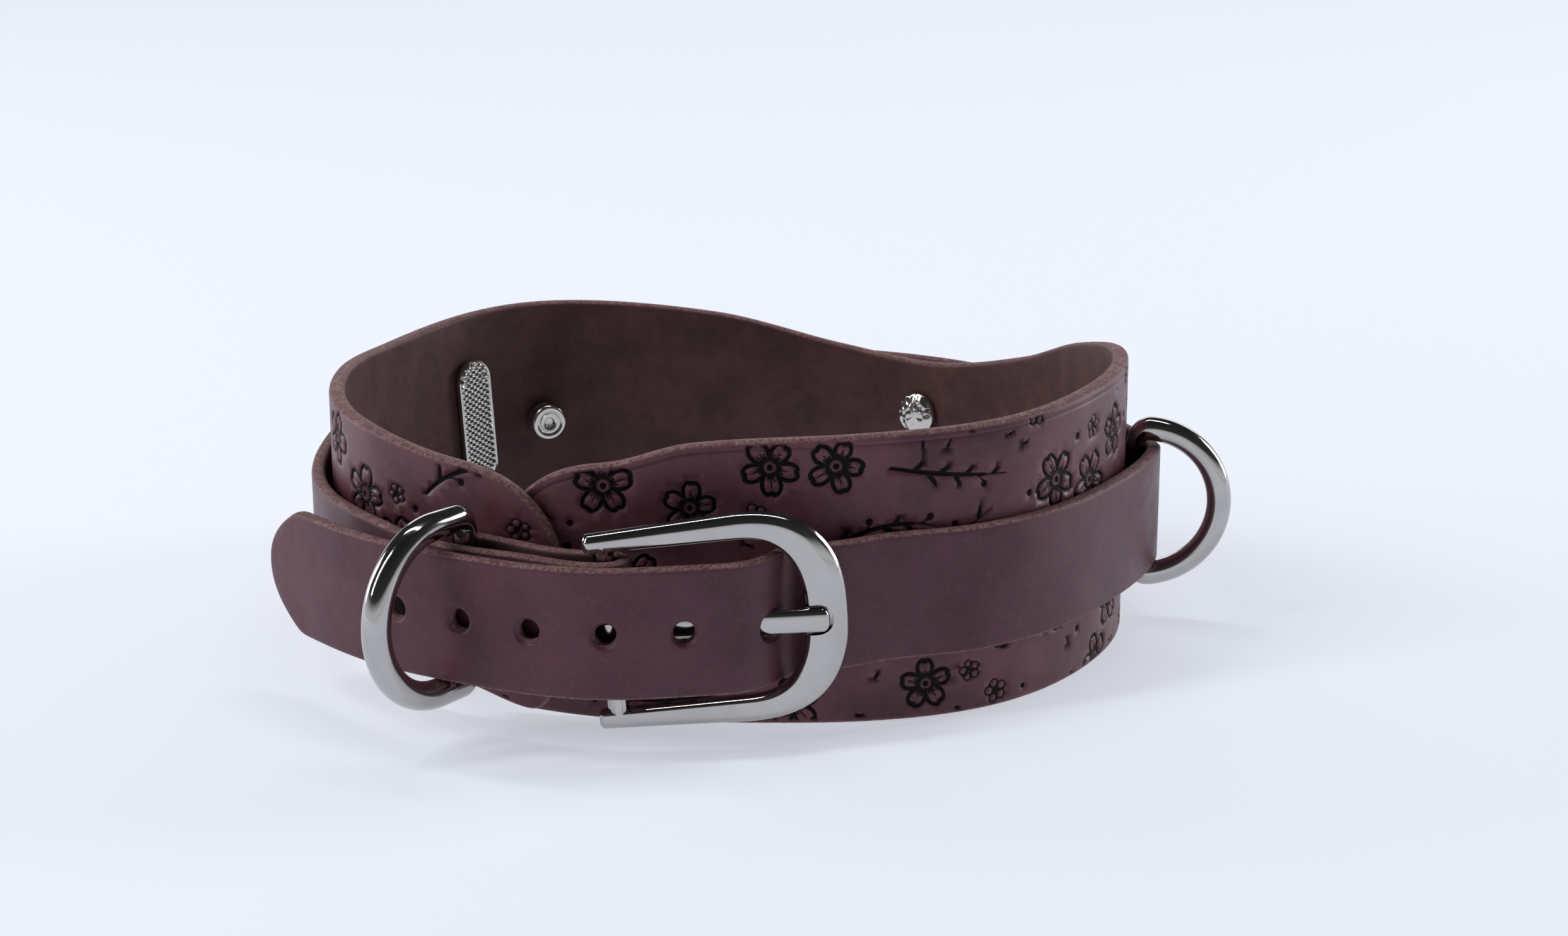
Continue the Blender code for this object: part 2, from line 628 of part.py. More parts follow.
def cut_strap_for_buckle(strap, parent):
    """The slot for the prong's eye in the strap's fold, and the prong's way through the tail."""
    half = PRONG_WIDTH / 2 + PRONG_SLACK
    reach = HEEL_BEND + STRAP_THICK / 2 + FIT
    slot = helper("prong_slot_cutter", box((-SLOT_LENGTH, -reach - MM, -half), (2 * reach, reach, half)), parent)
    combine(strap, slot, "DIFFERENCE")
    lift = PRONG_THICK / 2 + FIT
    low = (0.4 * FRAME_LENGTH, 0.35 * lift - PRONG_THICK / 2 - PRONG_SLACK, PRONG_DROP / 2 - half)
    high = (FRAME_LENGTH, lift + PRONG_THICK / 2 + PRONG_SLACK, PRONG_DROP + half)
    combine(strap, helper("prong_hole_cutter", box(low, high), parent), "DIFFERENCE")


# Rings

def ring_path(bow, depth, corner):
    """Middle line of a D ring in (out, up): bow, rounded corners and bar, with a bar share each."""
    if depth > corner:
        end = math.pi / 2
        corner_up = bow - corner
    else:
        corner_up = math.sqrt((bow - corner) ** 2 - (depth - corner) ** 2)
        end = math.atan2(corner_up, corner - depth)
    half = [(depth + bow * math.cos(a), bow * math.sin(a), 0.0) for a in np.linspace(0.0, end, 14)]
    for k, angle in enumerate(np.linspace(end, math.pi, 7)):
        half.append((corner + corner * math.cos(angle), corner_up + corner * math.sin(angle), k / 6))
    if depth <= corner:
        half.pop(14)
    half += [(0.0, corner_up * (1.0 - k / 4), 1.0) for k in (1, 2, 3, 4)]
    mirrored = [(out, -up, share) for out, up, share in reversed(half[1:-1])]
    return half + mirrored


def make_ring(name, bow, depth, corner, wire, bar, parent):
    """D-shaped ring in its own axes: the straight bar on Z, the bow out along X."""
    sides = 12
    path = ring_path(bow, depth, corner)
    bm = bmesh.new()
    rows = []
    for k, (out, up, bar_share) in enumerate(path):
        before = path[k - 1]
        after = path[(k + 1) % len(path)]
        along = Vector((after[0] - before[0], 0.0, after[1] - before[1])).normalized()
        side = along.cross(Vector((0.0, 1.0, 0.0)))
        radius = wire + (bar - wire) * bar_share
        rows.append([bm.verts.new(Vector((out, 0.0, up)) + radius * (
            side * math.cos(2 * math.pi * n / sides) + Vector((0.0, math.sin(2 * math.pi * n / sides), 0.0))))
            for n in range(sides)])
    for row, ahead in zip(rows, rows[1:] + rows[:1]):
        for n in range(sides):
            bm.faces.new((row[n], row[(n + 1) % sides], ahead[(n + 1) % sides], ahead[n]))
    return solid(name, bm, (METAL, 1.0, 0.12), parent)


# Rivets and plate

def dome(radius, height, base, side, steps=4):
    """Profile points of a rounded cap from its rim to its crown, growing towards side."""
    rim = CAP_RIM * height
    points = [(radius, base), (radius, base + side * rim)]
    for k in range(1, steps):
        angle = math.pi / 2 * k / steps
        points.append((radius * math.cos(angle), base + side * (rim + (height - rim) * math.sin(angle))))
    return points


STUD_PROFILE = (                # shares of STUD_RADIUS and of STUD_HEIGHT; the last rows are its hollow
    (0.90, 0.0), (1.00, 0.20), (0.93, 0.45), (1.00, 0.70), (0.86, 1.00),
    (0.34, 0.98), (0.24, 0.77), (0.00, 0.77))


def make_rivet(name, share, height, parent, band, strap):
    """One rivet through strap and band: outer dome, post and inner cap, turned round its axis."""
    inner = -BAND_THICK / 2 - FIT - CAP_AIR
    outer = BAND_THICK / 2 + FIT + STRAP_THICK + FIT
    crown = outer + CAP_HEIGHT
    top = [(0.0, crown)] + list(reversed(dome(CAP_RADIUS, CAP_HEIGHT, outer, 1)))
    post = [(POST_RADIUS, outer), (POST_RADIUS, inner)]
    if name == "rivet_left":
        lower = [(width * STUD_RADIUS, inner - depth * STUD_HEIGHT) for width, depth in STUD_PROFILE]
    else:
        lower = dome(CAP_RADIUS, CAP_HEIGHT, inner, -1) + [(0.0, inner - CAP_HEIGHT)]
    rivet = solid(name, turned_profile(top + post + lower), (METAL, 1.0, 0.2), parent)
    place = spot(share, lap(share))
    stand(rivet, place, height, loop_out(share), up_axis="X")
    for leather in (band, strap):
        cutter = helper(f"{name}_{leather.name}_cutter", rod(POST_RADIUS + FIT, -12 * MM, 12 * MM), parent)
        stand(cutter, place, height, loop_out(share), up_axis="X")
        combine(leather, cutter, "DIFFERENCE")
    return rivet


def make_plate(parent):
    """Round-ended knurled plate on the band's inner side, upright and leaning a little."""
    outline = stadium(PLATE_LENGTH, PLATE_WIDTH / 2)
    bevel = 0.3 * PLATE_THICK
    rings = []
    for inset, z in ((bevel, 0.0), (0.0, bevel), (0.0, PLATE_THICK - bevel), (bevel, PLATE_THICK)):
        scale_x = 1.0 - 2 * inset / PLATE_LENGTH
        scale_y = 1.0 - 2 * inset / PLATE_WIDTH
        rings.append([(x * scale_x, y * scale_y, z) for x, y in outline])
    plate = solid("knurled_plate", loft(rings), (METAL, 1.0, 0.3), parent)
    place = spot(PLATE_AT, -BAND_THICK / 2 - 2 * FIT)
    inward = -loop_out(PLATE_AT)
    stand(plate, place, PLATE_MIDDLE, inward, up_axis="X")
    lean = Matrix.Rotation(PLATE_LEAN, 4, Vector((inward[0], inward[1], 0.0)))
    plate.rotation_euler = (lean @ plate.rotation_euler.to_matrix().to_4x4()).to_euler()
    return plate


def empty(name, parent=None):
    made = bpy.data.objects.new(name, None)
    made.parent = parent
    bpy.context.scene.collection.objects.link(made)
    return made


def centre_on_floor(collar):
    """Moves the whole collar so that the origin is under its middle, on the floor."""
    bpy.context.view_layer.update()
    graph = bpy.context.evaluated_depsgraph_get()
    corners = []
    for made in bpy.context.scene.objects:
        if made.type == "MESH" and not made.hide_render:
            mesh = made.evaluated_get(graph).data
            corners += [made.matrix_world @ vertex.co for vertex in mesh.vertices]
    corners = np.array(corners)
    low, high = corners.min(axis=0), corners.max(axis=0)
    collar.location = (-(low[0] + high[0]) / 2, -(low[1] + high[1]) / 2, -low[2])


def main():
    for made in list(bpy.data.objects):
        bpy.data.objects.remove(made)
    collar = empty("collar")
    buckle = empty("buckle", collar)
    buckle.matrix_local = buckle_axes()

    band = make_band(collar)
    strap = make_strap(collar)
    make_frame(buckle)
    make_prong(buckle)
    cut_strap_for_buckle(strap, buckle)
    for name, share, above_middle in RIVETS:
        make_rivet(name, share, STRAP_MIDDLE + above_middle, collar, band, strap)
    make_plate(collar)

    keeper = empty("keeper_axis", collar)
    stand(keeper, KEEPER_BAR_AT, STRAP_MIDDLE + KEEPER_LIFT, KEEPER_OUT)
    make_ring("keeper_ring", KEEPER_BOW, KEEPER_REACH, RING_CORNER, KEEPER_WIRE, KEEPER_BAR, keeper)
    lead = empty("lead_ring_axis", collar)
    stand(lead, LEAD_BAR_AT, STRAP_MIDDLE, LEAD_OUT)
    make_ring("lead_ring", LEAD_BOW, LEAD_DEPTH, RING_CORNER, LEAD_WIRE, LEAD_BAR, lead)
    centre_on_floor(collar)


main()
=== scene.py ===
"""Looks of the leather dog collar: engraved band, buckled strap, polished metal, studio.

Metres, +Z up, the buckle at the front (-Y). Sizes and plan curves repeat the solid model's, under
the same names. A leather piece is made flat first, in (along, up) with a place in its thickness,
and is then laid along its plan curve.
"""

import json
import math

import bpy
import numpy as np
from mathutils import Matrix, Vector, noise
from mathutils.geometry import delaunay_2d_cdt
from mathutils.kdtree import KDTree


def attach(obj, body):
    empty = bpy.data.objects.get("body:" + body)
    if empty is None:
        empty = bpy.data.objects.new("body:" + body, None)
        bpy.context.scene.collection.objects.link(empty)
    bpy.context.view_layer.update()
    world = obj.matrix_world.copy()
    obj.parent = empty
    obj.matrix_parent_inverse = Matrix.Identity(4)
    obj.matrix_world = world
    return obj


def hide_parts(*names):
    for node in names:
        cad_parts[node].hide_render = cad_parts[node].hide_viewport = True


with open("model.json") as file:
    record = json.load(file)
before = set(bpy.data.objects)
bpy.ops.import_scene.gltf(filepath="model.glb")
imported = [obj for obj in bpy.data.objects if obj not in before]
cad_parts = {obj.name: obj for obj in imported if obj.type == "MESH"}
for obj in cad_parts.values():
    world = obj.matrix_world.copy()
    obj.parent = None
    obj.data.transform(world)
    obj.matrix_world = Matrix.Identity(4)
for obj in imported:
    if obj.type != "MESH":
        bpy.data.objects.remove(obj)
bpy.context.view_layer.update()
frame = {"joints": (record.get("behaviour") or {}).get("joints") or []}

MM = 0.001
FIT = 0.3 * MM

# Leather
LOOP_WIDTH = 160.5 * MM
LOOP_DEPTH = 144.7 * MM
BAND_THICK = 3.3 * MM
BAND_HEIGHT = 58.0 * MM
BAND_LAP_AIR = 1.2 * MM
BAND_TOP_ROUND = 21.0 * MM
BAND_FOOT_ROUND = 7.0 * MM
CORNER_POWER = 2.3
STRAP_WIDTH = 25.0 * MM
STRAP_THICK = 2.8 * MM
STRAP_MIDDLE = 26.0 * MM
STRAP_TIP = 11.0 * MM
TIP_POWER = 0.45
STRAP_FOLD = 9.0 * MM
FOLD_SWELL = 0.8 * MM
FOLD_AIR = 0.3 * MM
LEFT_AIR = 3.2 * MM
TAIL_AIR = 13.2 * MM
HOLE_PITCH = 14.3 * MM
HOLE_COUNT = 5
HOLE_FIRST = 18.0 * MM

# Buckle, with its heel bar as the origin of its own lengths
HEEL_RADIUS = 2.0 * MM
HEEL_STAND = 17.5 * MM
FRAME_LENGTH = 44.0 * MM
FRAME_HALF = 20.4 * MM
FRAME_END_HALF = 19.0 * MM
FRAME_THICK = 4.0 * MM
ARM_WIDTH = 3.7 * MM
BOW_WIDTH = 8.0 * MM
ARM_OVERHANG = 2.6 * MM
BOW_AIR = 2.6 * MM
BOW_EDGE_AIR = 0.8 * MM
PRONG_WIDTH = 4.8 * MM
PRONG_THICK = 3.0 * MM
PRONG_WALL = 1.5 * MM
PRONG_SLACK = 0.4 * MM
NOTCH_LENGTH = 5.0 * MM
PRONG_TIP_AIR = 0.7 * MM
PRONG_DROP = 1.2 * MM
BOW_CORNER_BACK = 3.2 * MM
SLOT_LENGTH = 8.5 * MM
BOW_FROM = 0.55
BOW_POWER = 2.5
BUCKLE_YAW = math.radians(7.0)
BUCKLE_ROLL = math.radians(4.5)
ROLL_KEPT = 3.75 * MM
ROLL_FADE = 16.3 * MM

# Rings
RING_CORNER = 3.0 * MM
KEEPER_BOW = 16.2 * MM
KEEPER_WIRE = 2.75 * MM
KEEPER_LIFT = 0.85 * MM
KEEPER_BAR = 2.35 * MM
KEEPER_AIR = 1.6 * MM
KEEPER_TURN = math.radians(12.0)
LEAD_BOW = 15.8 * MM
LEAD_WIRE = 2.55 * MM
LEAD_BAR = 2.0 * MM
LEAD_WRAP = math.radians(12.0)
LEAD_DEPTH = 1.8 * MM

# Rivets and the knurled plate
POST_RADIUS = 1.6 * MM
CAP_RADIUS = 4.6 * MM
CAP_AIR = 0.2 * MM
CAP_HEIGHT = 2.2 * MM
STUD_RADIUS = 4.2 * MM
STUD_HEIGHT = 4.3 * MM
PLATE_WIDTH = 9.4 * MM
PLATE_LENGTH = 30.0 * MM
PLATE_THICK = 1.7 * MM
PLATE_MIDDLE = 26.0 * MM
PLATE_LEAN = math.radians(4.5)

# Places along the loop, as shares
BAND_START = -0.0755
BAND_END = 0.955
LAP_FROM = 0.74
LAP_TO = 0.89
HEEL_AT = 0.974
KEEPER_AT = 0.925
LEAD_AT = 0.245
RIVETS = (("rivet_left", 0.605, -2.0 * MM), ("rivet_right", 0.419, 0.0), ("rivet_lead_ring", 0.298, 0.0))
PLATE_AT = 0.6445

LOOP_PLAN = (                   # share of LOOP_WIDTH from the left, of LOOP_DEPTH from the front
    (0.455, 0.006), (0.644, 0.006), (0.808, 0.062), (0.931, 0.202), (1.000, 0.413),
    (0.975, 0.620), (0.859, 0.855), (0.644, 0.983), (0.392, 0.993), (0.158, 0.917),
    (0.026, 0.703), (0.001, 0.468), (0.042, 0.247), (0.127, 0.115), (0.266, 0.027))

BAND_EDGES = (                  # share of the loop, top and bottom as shares of BAND_HEIGHT
    (-0.0755, 0.870, 0.040), (-0.03, 0.885, 0.010), (0.00, 0.950, 0.000), (0.06, 0.980, 0.000),
    (0.12, 0.990, 0.000), (0.25, 1.000, 0.000), (0.31, 0.905, 0.010), (0.36, 0.755, 0.080),
    (0.41, 0.660, 0.160), (0.46, 0.700, 0.110), (0.52, 0.820, 0.030), (0.60, 0.890, 0.000),
    (0.70, 0.870, 0.000), (0.78, 0.930, 0.060), (0.86, 0.930, 0.120), (0.915, 0.880, 0.120),
    (0.94, 0.870, 0.060), (0.955, 0.870, 0.050))

STRAP_STANDS = (                # share of the loop, air to the band as a share of LEFT_AIR
    (0.886, 1.00), (0.850, 0.55), (0.810, 0.30), (0.770, 0.15), (0.720, 0.0), (0.680, 0.0),
    (0.640, 0.0), (0.603, 0.0), (0.560, 0.0), (0.510, 0.0), (0.460, 0.0), (0.419, 0.0),
    (0.380, 0.0), (0.340, 0.0), (0.305, 0.0), (0.285, 0.0))

FRONT_STANDS = ((0.190, 0.12), (0.160, 0.0), (0.130, 0.0), (0.100, 0.0), (0.074, 0.15))

TAIL_STANDS = (                 # share of the loop, air to the band as a share of TAIL_AIR
    (0.9060, 0.92), (0.8645, 0.87), (0.8480, 1.00))

TAIL_OVER_BUCKLE = (            # share of FRAME_LENGTH from the heel bar, of the tail's lift over it
    (0.660, 0.09), (0.570, 0.60), (0.360, 0.87), (0.000, 1.00))

FRAME_SECTION = (               # share of the width from the inner edge, of half the thickness
    (0.0, -0.55), (0.0, 0.55), (0.10, 1.0), (0.66, 1.0), (0.90, 0.62),
    (1.0, 0.0), (0.92, -0.62), (0.72, -1.0), (0.12, -1.0))

STUD_PROFILE = (                # shares of STUD_RADIUS and of STUD_HEIGHT; the last rows are its face
    (0.88, 0.0), (0.97, 0.05), (1.00, 0.16), (0.98, 0.30), (0.90, 0.42), (0.90, 0.50), (0.98, 0.60),
    (1.00, 0.74), (0.98, 0.88), (0.92, 0.97), (0.84, 1.00), (0.66, 0.985), (0.62, 0.93), (0.56, 0.93),
    (0.52, 0.985), (0.36, 0.985), (0.27, 0.95), (0.22, 0.82), (0.00, 0.80))

# Fineness of the meshes
EDGE_STEP = 0.7 * MM            # along a leather edge
BAND_GRID = 1.7 * MM
BAND_BACK_GRID = 1.3 * BAND_GRID
STRAP_GRID = 1.5 * MM
NEAREST = 0.12 * MM             # smallest distance between two points of a leather face
SLOT_STEP = 0.45 * MM           # along a slot's edge
PLATE_STEP = 0.35 * MM          # along the knurled plate's edge
BEND_WEIGHT = 1.6               # how much closer the strap's points come round the heel bar
BEND_REACH = 8.0 * MM           # and how far from it
OUTLINE_POINTS = 900            # along one long edge, before even steps are taken
STRAP_ROWS = 16                 # rows of points across the strap

# Camera, as the photograph was taken
IMAGE_WIDTH = 2486
FOCAL_PIXELS = 4500
SENSOR = 36.0
CAMERA_TILT = math.radians(74.0)
CAMERA_PLACE = (0.003664, -0.5699, 0.1967)


# Plan curves

def smooth(value):
    value = np.clip(value, 0.0, 1.0)
    return value * value * (3.0 - 2.0 * value)


def compass(angle):
    """Unit direction for one angle or many."""
    return np.stack([np.cos(angle), np.sin(angle)], axis=-1)


def full_turn(sides):
    """Even angles once round."""
    return 2.0 * math.pi * np.arange(sides) / sides


def running_length(line, weight=None):
    """How far along a polyline each of its points is; weight stretches it where it is above one."""
    lengths = np.linalg.norm(np.diff(line, axis=0), axis=1)
    if weight is not None:
        lengths = lengths * weight((line[1:] + line[:-1]) / 2)
    return np.concatenate([[0.0], np.cumsum(lengths)])


def read_line(line, at, wanted):
    """A polyline's points at the wanted values of its running length."""
    return np.stack([np.interp(wanted, at, line[:, k]) for k in (0, 1)], axis=-1)


def plane_tree(points):
    """Search tree over flat points."""
    tree = KDTree(len(points))
    for n, (x, y) in enumerate(points):
        tree.insert((x, y, 0.0), n)
    tree.balance()
    return tree


def spline_pieces(points, closed=False, start=None, end=None):
    """Cubic spline through plan points: the points, chord lengths and second derivatives."""
    points = np.array(points, dtype=float)
    if closed:
        points = np.vstack([points, points[:1]])
    count = len(points)
    chords = np.linalg.norm(np.diff(points, axis=0), axis=1)
    slopes = np.diff(points, axis=0) / chords[:, None]
    matrix = np.zeros((count, count))
    right = np.zeros((count, 2))
    for i in range(1, count - 1):
        matrix[i, i - 1: i + 2] = chords[i - 1], 2.0 * (chords[i - 1] + chords[i]), chords[i]
        right[i] = 6.0 * (slopes[i] - slopes[i - 1])
    if closed:
        matrix[0, 0] = 1.0
        matrix[0, -1] = -1.0
        matrix[-1, 0] = matrix[-1, -1] = chords[0] + chords[-1]
        matrix[-1, 1] = chords[0]
        matrix[-1, -2] = chords[-1]
        right[-1] = 6.0 * (slopes[0] - slopes[-1])
    else:
        matrix[0, 0] = 1.0
        matrix[-1, -1] = 1.0
        if start is not None:
            matrix[0, :2] = 2.0 * chords[0], chords[0]
            right[0] = 6.0 * (slopes[0] - start)
        if end is not None:
            matrix[-1, -2:] = chords[-1], 2.0 * chords[-1]
            right[-1] = 6.0 * (end - slopes[-1])
    return points, chords, np.linalg.solve(matrix, right)


def spline_path(points, steps=160, **ends):
    """Dense points along the spline, the last one included."""
    points, chords, bends = spline_pieces(points, **ends)
    path = []
    for i, chord in enumerate(chords):
        ahead = np.linspace(0.0, chord, steps, endpoint=False)[:, None]
        behind = chord - ahead
        path.append((bends[i] * behind ** 3 + bends[i + 1] * ahead ** 3) / (6.0 * chord)
                    + (points[i] / chord - bends[i] * chord / 6.0) * behind
                    + (points[i + 1] / chord - bends[i + 1] * chord / 6.0) * ahead)
    path.append(points[-1:])
    return np.vstack(path)


def turned(direction, angle):
    """Plan directions turned anticlockwise."""
    cosine, sine = math.cos(angle), math.sin(angle)
    direction = np.asarray(direction)
    x, y = direction[..., 0], direction[..., 1]
    return np.stack([x * cosine - y * sine, x * sine + y * cosine], axis=-1)


class Route:
    """A plan path measured by its length; every question takes one distance or many."""

    def __init__(self, path, closed=False):
        self.path = path
        self.at = running_length(path)
        self.length = self.at[-1]
        self.closed = closed

    def point(self, distance):
        if self.closed:
            distance = np.mod(distance, self.length)
        return read_line(self.path, self.at, distance)

    def along(self, distance, reach=0.3 * MM):
        low, high = distance - reach, distance + reach
        if not self.closed:
            low, high = np.maximum(low, 0.0), np.minimum(high, self.length)
        step = self.point(high) - self.point(low)
        return step / np.linalg.norm(step, axis=-1, keepdims=True)

    def nearest(self, point):
        return self.at[np.argmin(np.linalg.norm(self.path - point, axis=1))]


LOOP = Route(spline_path([(across * LOOP_WIDTH, back * LOOP_DEPTH) for across, back in LOOP_PLAN],
                         closed=True), closed=True)


def loop_along(share):
    return LOOP.along(np.asarray(share) * LOOP.length)


def loop_out(share):
    return turned(loop_along(share), -math.pi / 2)


def spot(share, out):
    return LOOP.point(np.asarray(share) * LOOP.length) + loop_out(share) * np.asarray(out)[..., None]


def lap(share):
    return (BAND_THICK + BAND_LAP_AIR) * smooth((share - LAP_FROM) / (LAP_TO - LAP_FROM))


def strap_out(share, air=0.0):
    return lap(share) + BAND_THICK / 2 + FIT + air + STRAP_THICK / 2


KEEPER_BAR_AT = spot(KEEPER_AT, strap_out(KEEPER_AT, FOLD_AIR) + STRAP_THICK / 2 + FIT + KEEPER_BAR)
KEEPER_OUT = turned(loop_out(KEEPER_AT), -KEEPER_TURN)
KEEPER_REACH = KEEPER_BAR + FIT + STRAP_THICK + KEEPER_AIR + STRAP_THICK / 2
LEAD_OUT = loop_out(LEAD_AT)
LEAD_BAR_AT = spot(LEAD_AT, BAND_THICK / 2 + FIT + LEAD_BAR)
HEEL_BEND = HEEL_RADIUS + FIT + STRAP_THICK / 2
HEEL_SPOT = spot(HEEL_AT, HEEL_STAND)
BUCKLE_ALONG = turned(loop_along(HEEL_AT), BUCKLE_YAW)
BUCKLE_OUT = turned(BUCKLE_ALONG, -math.pi / 2)
BOW_INNER = FRAME_LENGTH - BOW_WIDTH
PRONG_LENGTH = BOW_INNER + NOTCH_LENGTH - PRONG_TIP_AIR
PRONG_CROSSING = TAIL_OVER_BUCKLE[0][0] * FRAME_LENGTH
TAIL_LIFT = HEEL_BEND + STRAP_THICK + 2 * FIT

# The lead ring's hinge is where the frame says, and the whole plan is laid round it
SHIFT = np.array(frame["joints"][0]["pos_m"][:2]) - LEAD_BAR_AT


def buckle_spot(ahead, out):
    return HEEL_SPOT + BUCKLE_ALONG * ahead + BUCKLE_OUT * out


def strap_route():
    """The strap's middle line in plan, from the folded end to the tip of the tail."""
    fold_end = KEEPER_AT - STRAP_FOLD / LOOP.length
    fold = spline_path([spot(fold_end, strap_out(fold_end, FOLD_AIR)),
                        spot(KEEPER_AT, strap_out(KEEPER_AT, FOLD_AIR)),
                        buckle_spot(0.0, -HEEL_BEND)], end=BUCKLE_ALONG)
    bend = [buckle_spot(HEEL_BEND * math.sin(turn), -HEEL_BEND * math.cos(turn))
            for turn in np.linspace(0.0, math.pi, 60)]
    off_heel = buckle_spot(0.0, HEEL_BEND)
    over_keeper = KEEPER_BAR_AT + KEEPER_OUT * (KEEPER_BAR + FIT + STRAP_THICK / 2)
    outward = turned((over_keeper - off_heel) / np.linalg.norm(over_keeper - off_heel), math.pi / 2)
    body = [off_heel, (off_heel + over_keeper) / 2 + outward * FOLD_SWELL, over_keeper]
    body += [spot(share, strap_out(share, air * LEFT_AIR)) for share, air in STRAP_STANDS]
    over_bar = LEAD_BAR + FIT + STRAP_THICK / 2
    for turn in (LEAD_WRAP, 0.0, -LEAD_WRAP):
        body.append(LEAD_BAR_AT + turned(LEAD_OUT, turn) * over_bar)
    body += [spot(share, strap_out(share, air * LEFT_AIR)) for share, air in FRONT_STANDS]
    body.append(buckle_spot(FRAME_LENGTH - BOW_WIDTH / 2, -FRAME_THICK / 2 - BOW_AIR - STRAP_THICK / 2))
    body.append(buckle_spot(BOW_INNER - BOW_CORNER_BACK, -FRAME_THICK / 2 - BOW_EDGE_AIR - STRAP_THICK / 2))
    body += [buckle_spot(ahead * FRAME_LENGTH, lift * TAIL_LIFT) for ahead, lift in TAIL_OVER_BUCKLE]
    body.append(KEEPER_BAR_AT + KEEPER_OUT * KEEPER_REACH)
    body += [spot(share, strap_out(share, air * TAIL_AIR)) for share, air in TAIL_STANDS]
    main = spline_path(body, start=-BUCKLE_ALONG)
    return Route(np.vstack([fold[:-1], bend[:-1], main]))


STRAP = strap_route()


def read_table(table, places):
    """A table's columns read at many places, with a smooth curve through its rows."""
    rows = np.array(table)
    at, values = rows[:, 0], rows[:, 1:]
    places = np.atleast_1d(places)
    k = np.clip(np.searchsorted(at, places) - 1, 0, len(at) - 2)
    span = (at[k + 1] - at[k])[:, None]
    along = (places - at[k])[:, None] / span

    def slope(row):
        before = np.maximum(row - 1, 0)
        after = np.minimum(row + 1, len(at) - 1)
        return (values[after] - values[before]) / (at[after] - at[before])[:, None] * span

    square, cube = along ** 2, along ** 3
    return ((2 * cube - 3 * square + 1) * values[k] + (cube - 2 * square + along) * slope(k)
            + (3 * square - 2 * cube) * values[k + 1] + (cube - square) * slope(k + 1))


# Flat outlines

def resampled(line, step=None, closed=True, weight=None, count=None):
    """A polyline's points at even steps or in a given count; weight makes them closer."""
    if closed:
        line = np.vstack([line, line[:1]])
    at = running_length(line, weight)
    count = count or max(int(round(at[-1] / step)), 3)
    wanted = np.linspace(0.0, at[-1], count + 1)
    return read_line(line, at, wanted[:-1] if closed else wanted)


def softened(line, rounds=1):
    """A closed outline with its kinks rounded by averaging neighbours."""
    for _ in range(rounds):
        line = 0.5 * line + 0.25 * (np.roll(line, 1, axis=0) + np.roll(line, -1, axis=0))
    return line


def inward(outline):
    """Unit directions into an anticlockwise outline."""
    ahead = np.roll(outline, -1, axis=0) - np.roll(outline, 1, axis=0)
    ahead /= np.linalg.norm(ahead, axis=1)[:, None]
    return np.stack([-ahead[:, 1], ahead[:, 0]], axis=-1)


def inside(points, outline):
    """Which points lie inside a closed outline."""
    x, y = points[:, 0], points[:, 1]
    result = np.zeros(len(points), dtype=bool)
    for (x0, y0), (x1, y1) in zip(outline, np.roll(outline, -1, axis=0)):
        if y0 != y1:
            crosses = ((y0 > y) != (y1 > y)) & (x < (x1 - x0) * (y - y0) / (y1 - y0) + x0)
            result ^= crosses
    return result


def band_heights(along):
    """Lower and upper edge of the band, its rounded ends left out."""
    tops, bottoms = read_table(BAND_EDGES, along / LOOP.length).T * BAND_HEIGHT
    return np.maximum(bottoms, 0.0), tops


def band_outline():
    """The band laid flat: lower edge, right end, upper edge, left end."""
    start, end = BAND_START * LOOP.length, BAND_END * LOOP.length
    angles = np.radians(np.linspace(0.0, 90.0, 60))
    back = 1.0 - np.cos(angles) ** (2.0 / CORNER_POWER)
    fill = np.sin(angles) ** (2.0 / CORNER_POWER)

    def corner(tip, way, rounding, upper):
        along = tip + way * back * rounding
        low, high = band_heights(along)
        middle = (low + high) / 2
        edge = high if upper else low
        return np.stack([along, middle + (edge - middle) * fill], axis=-1)

    lower = np.linspace(start + BAND_FOOT_ROUND, end - BAND_FOOT_ROUND, OUTLINE_POINTS)[1:-1]
    upper = np.linspace(end - BAND_TOP_ROUND, start + BAND_TOP_ROUND, OUTLINE_POINTS)[1:-1]
    line = np.vstack([
        np.stack([lower, band_heights(lower)[0]], axis=-1),
        corner(end, -1, BAND_FOOT_ROUND, False)[::-1],
        corner(end, -1, BAND_TOP_ROUND, True)[1:],
        np.stack([upper, band_heights(upper)[1]], axis=-1),
        corner(start, 1, BAND_TOP_ROUND, True)[::-1],
        corner(start, 1, BAND_FOOT_ROUND, False)[1:]])
    return softened(resampled(line, EDGE_STEP), 2)


def bend_middle():
    return STRAP.nearest(buckle_spot(HEEL_BEND, 0.0))


def closer_in_bend(points):
    """Weight that brings the steps together round the heel bar."""
    return 1.0 + BEND_WEIGHT * np.exp(-((points[:, 0] - bend_middle()) / BEND_REACH) ** 4)


def strap_outline():
    """The strap laid flat: lower edge, rounded tip, upper edge, folded end."""
    half = STRAP_WIDTH / 2
    sines = np.sin(np.radians(np.linspace(-90.0, 90.0, 61)))
    back = STRAP_TIP * np.abs(sines) ** (1.0 / TIP_POWER)
    tip = np.stack([STRAP.length - back, STRAP_MIDDLE + half * sines], axis=-1)
    run = np.linspace(0.0, STRAP.length - STRAP_TIP, OUTLINE_POINTS)[:-1]
    lower = np.stack([run, np.full_like(run, STRAP_MIDDLE - half)], axis=-1)
    upper = np.stack([run[::-1], np.full_like(run, STRAP_MIDDLE + half)], axis=-1)
    line = np.vstack([lower, tip, upper])
    return softened(resampled(line, EDGE_STEP, weight=closer_in_bend), 5)


# Closed sheets

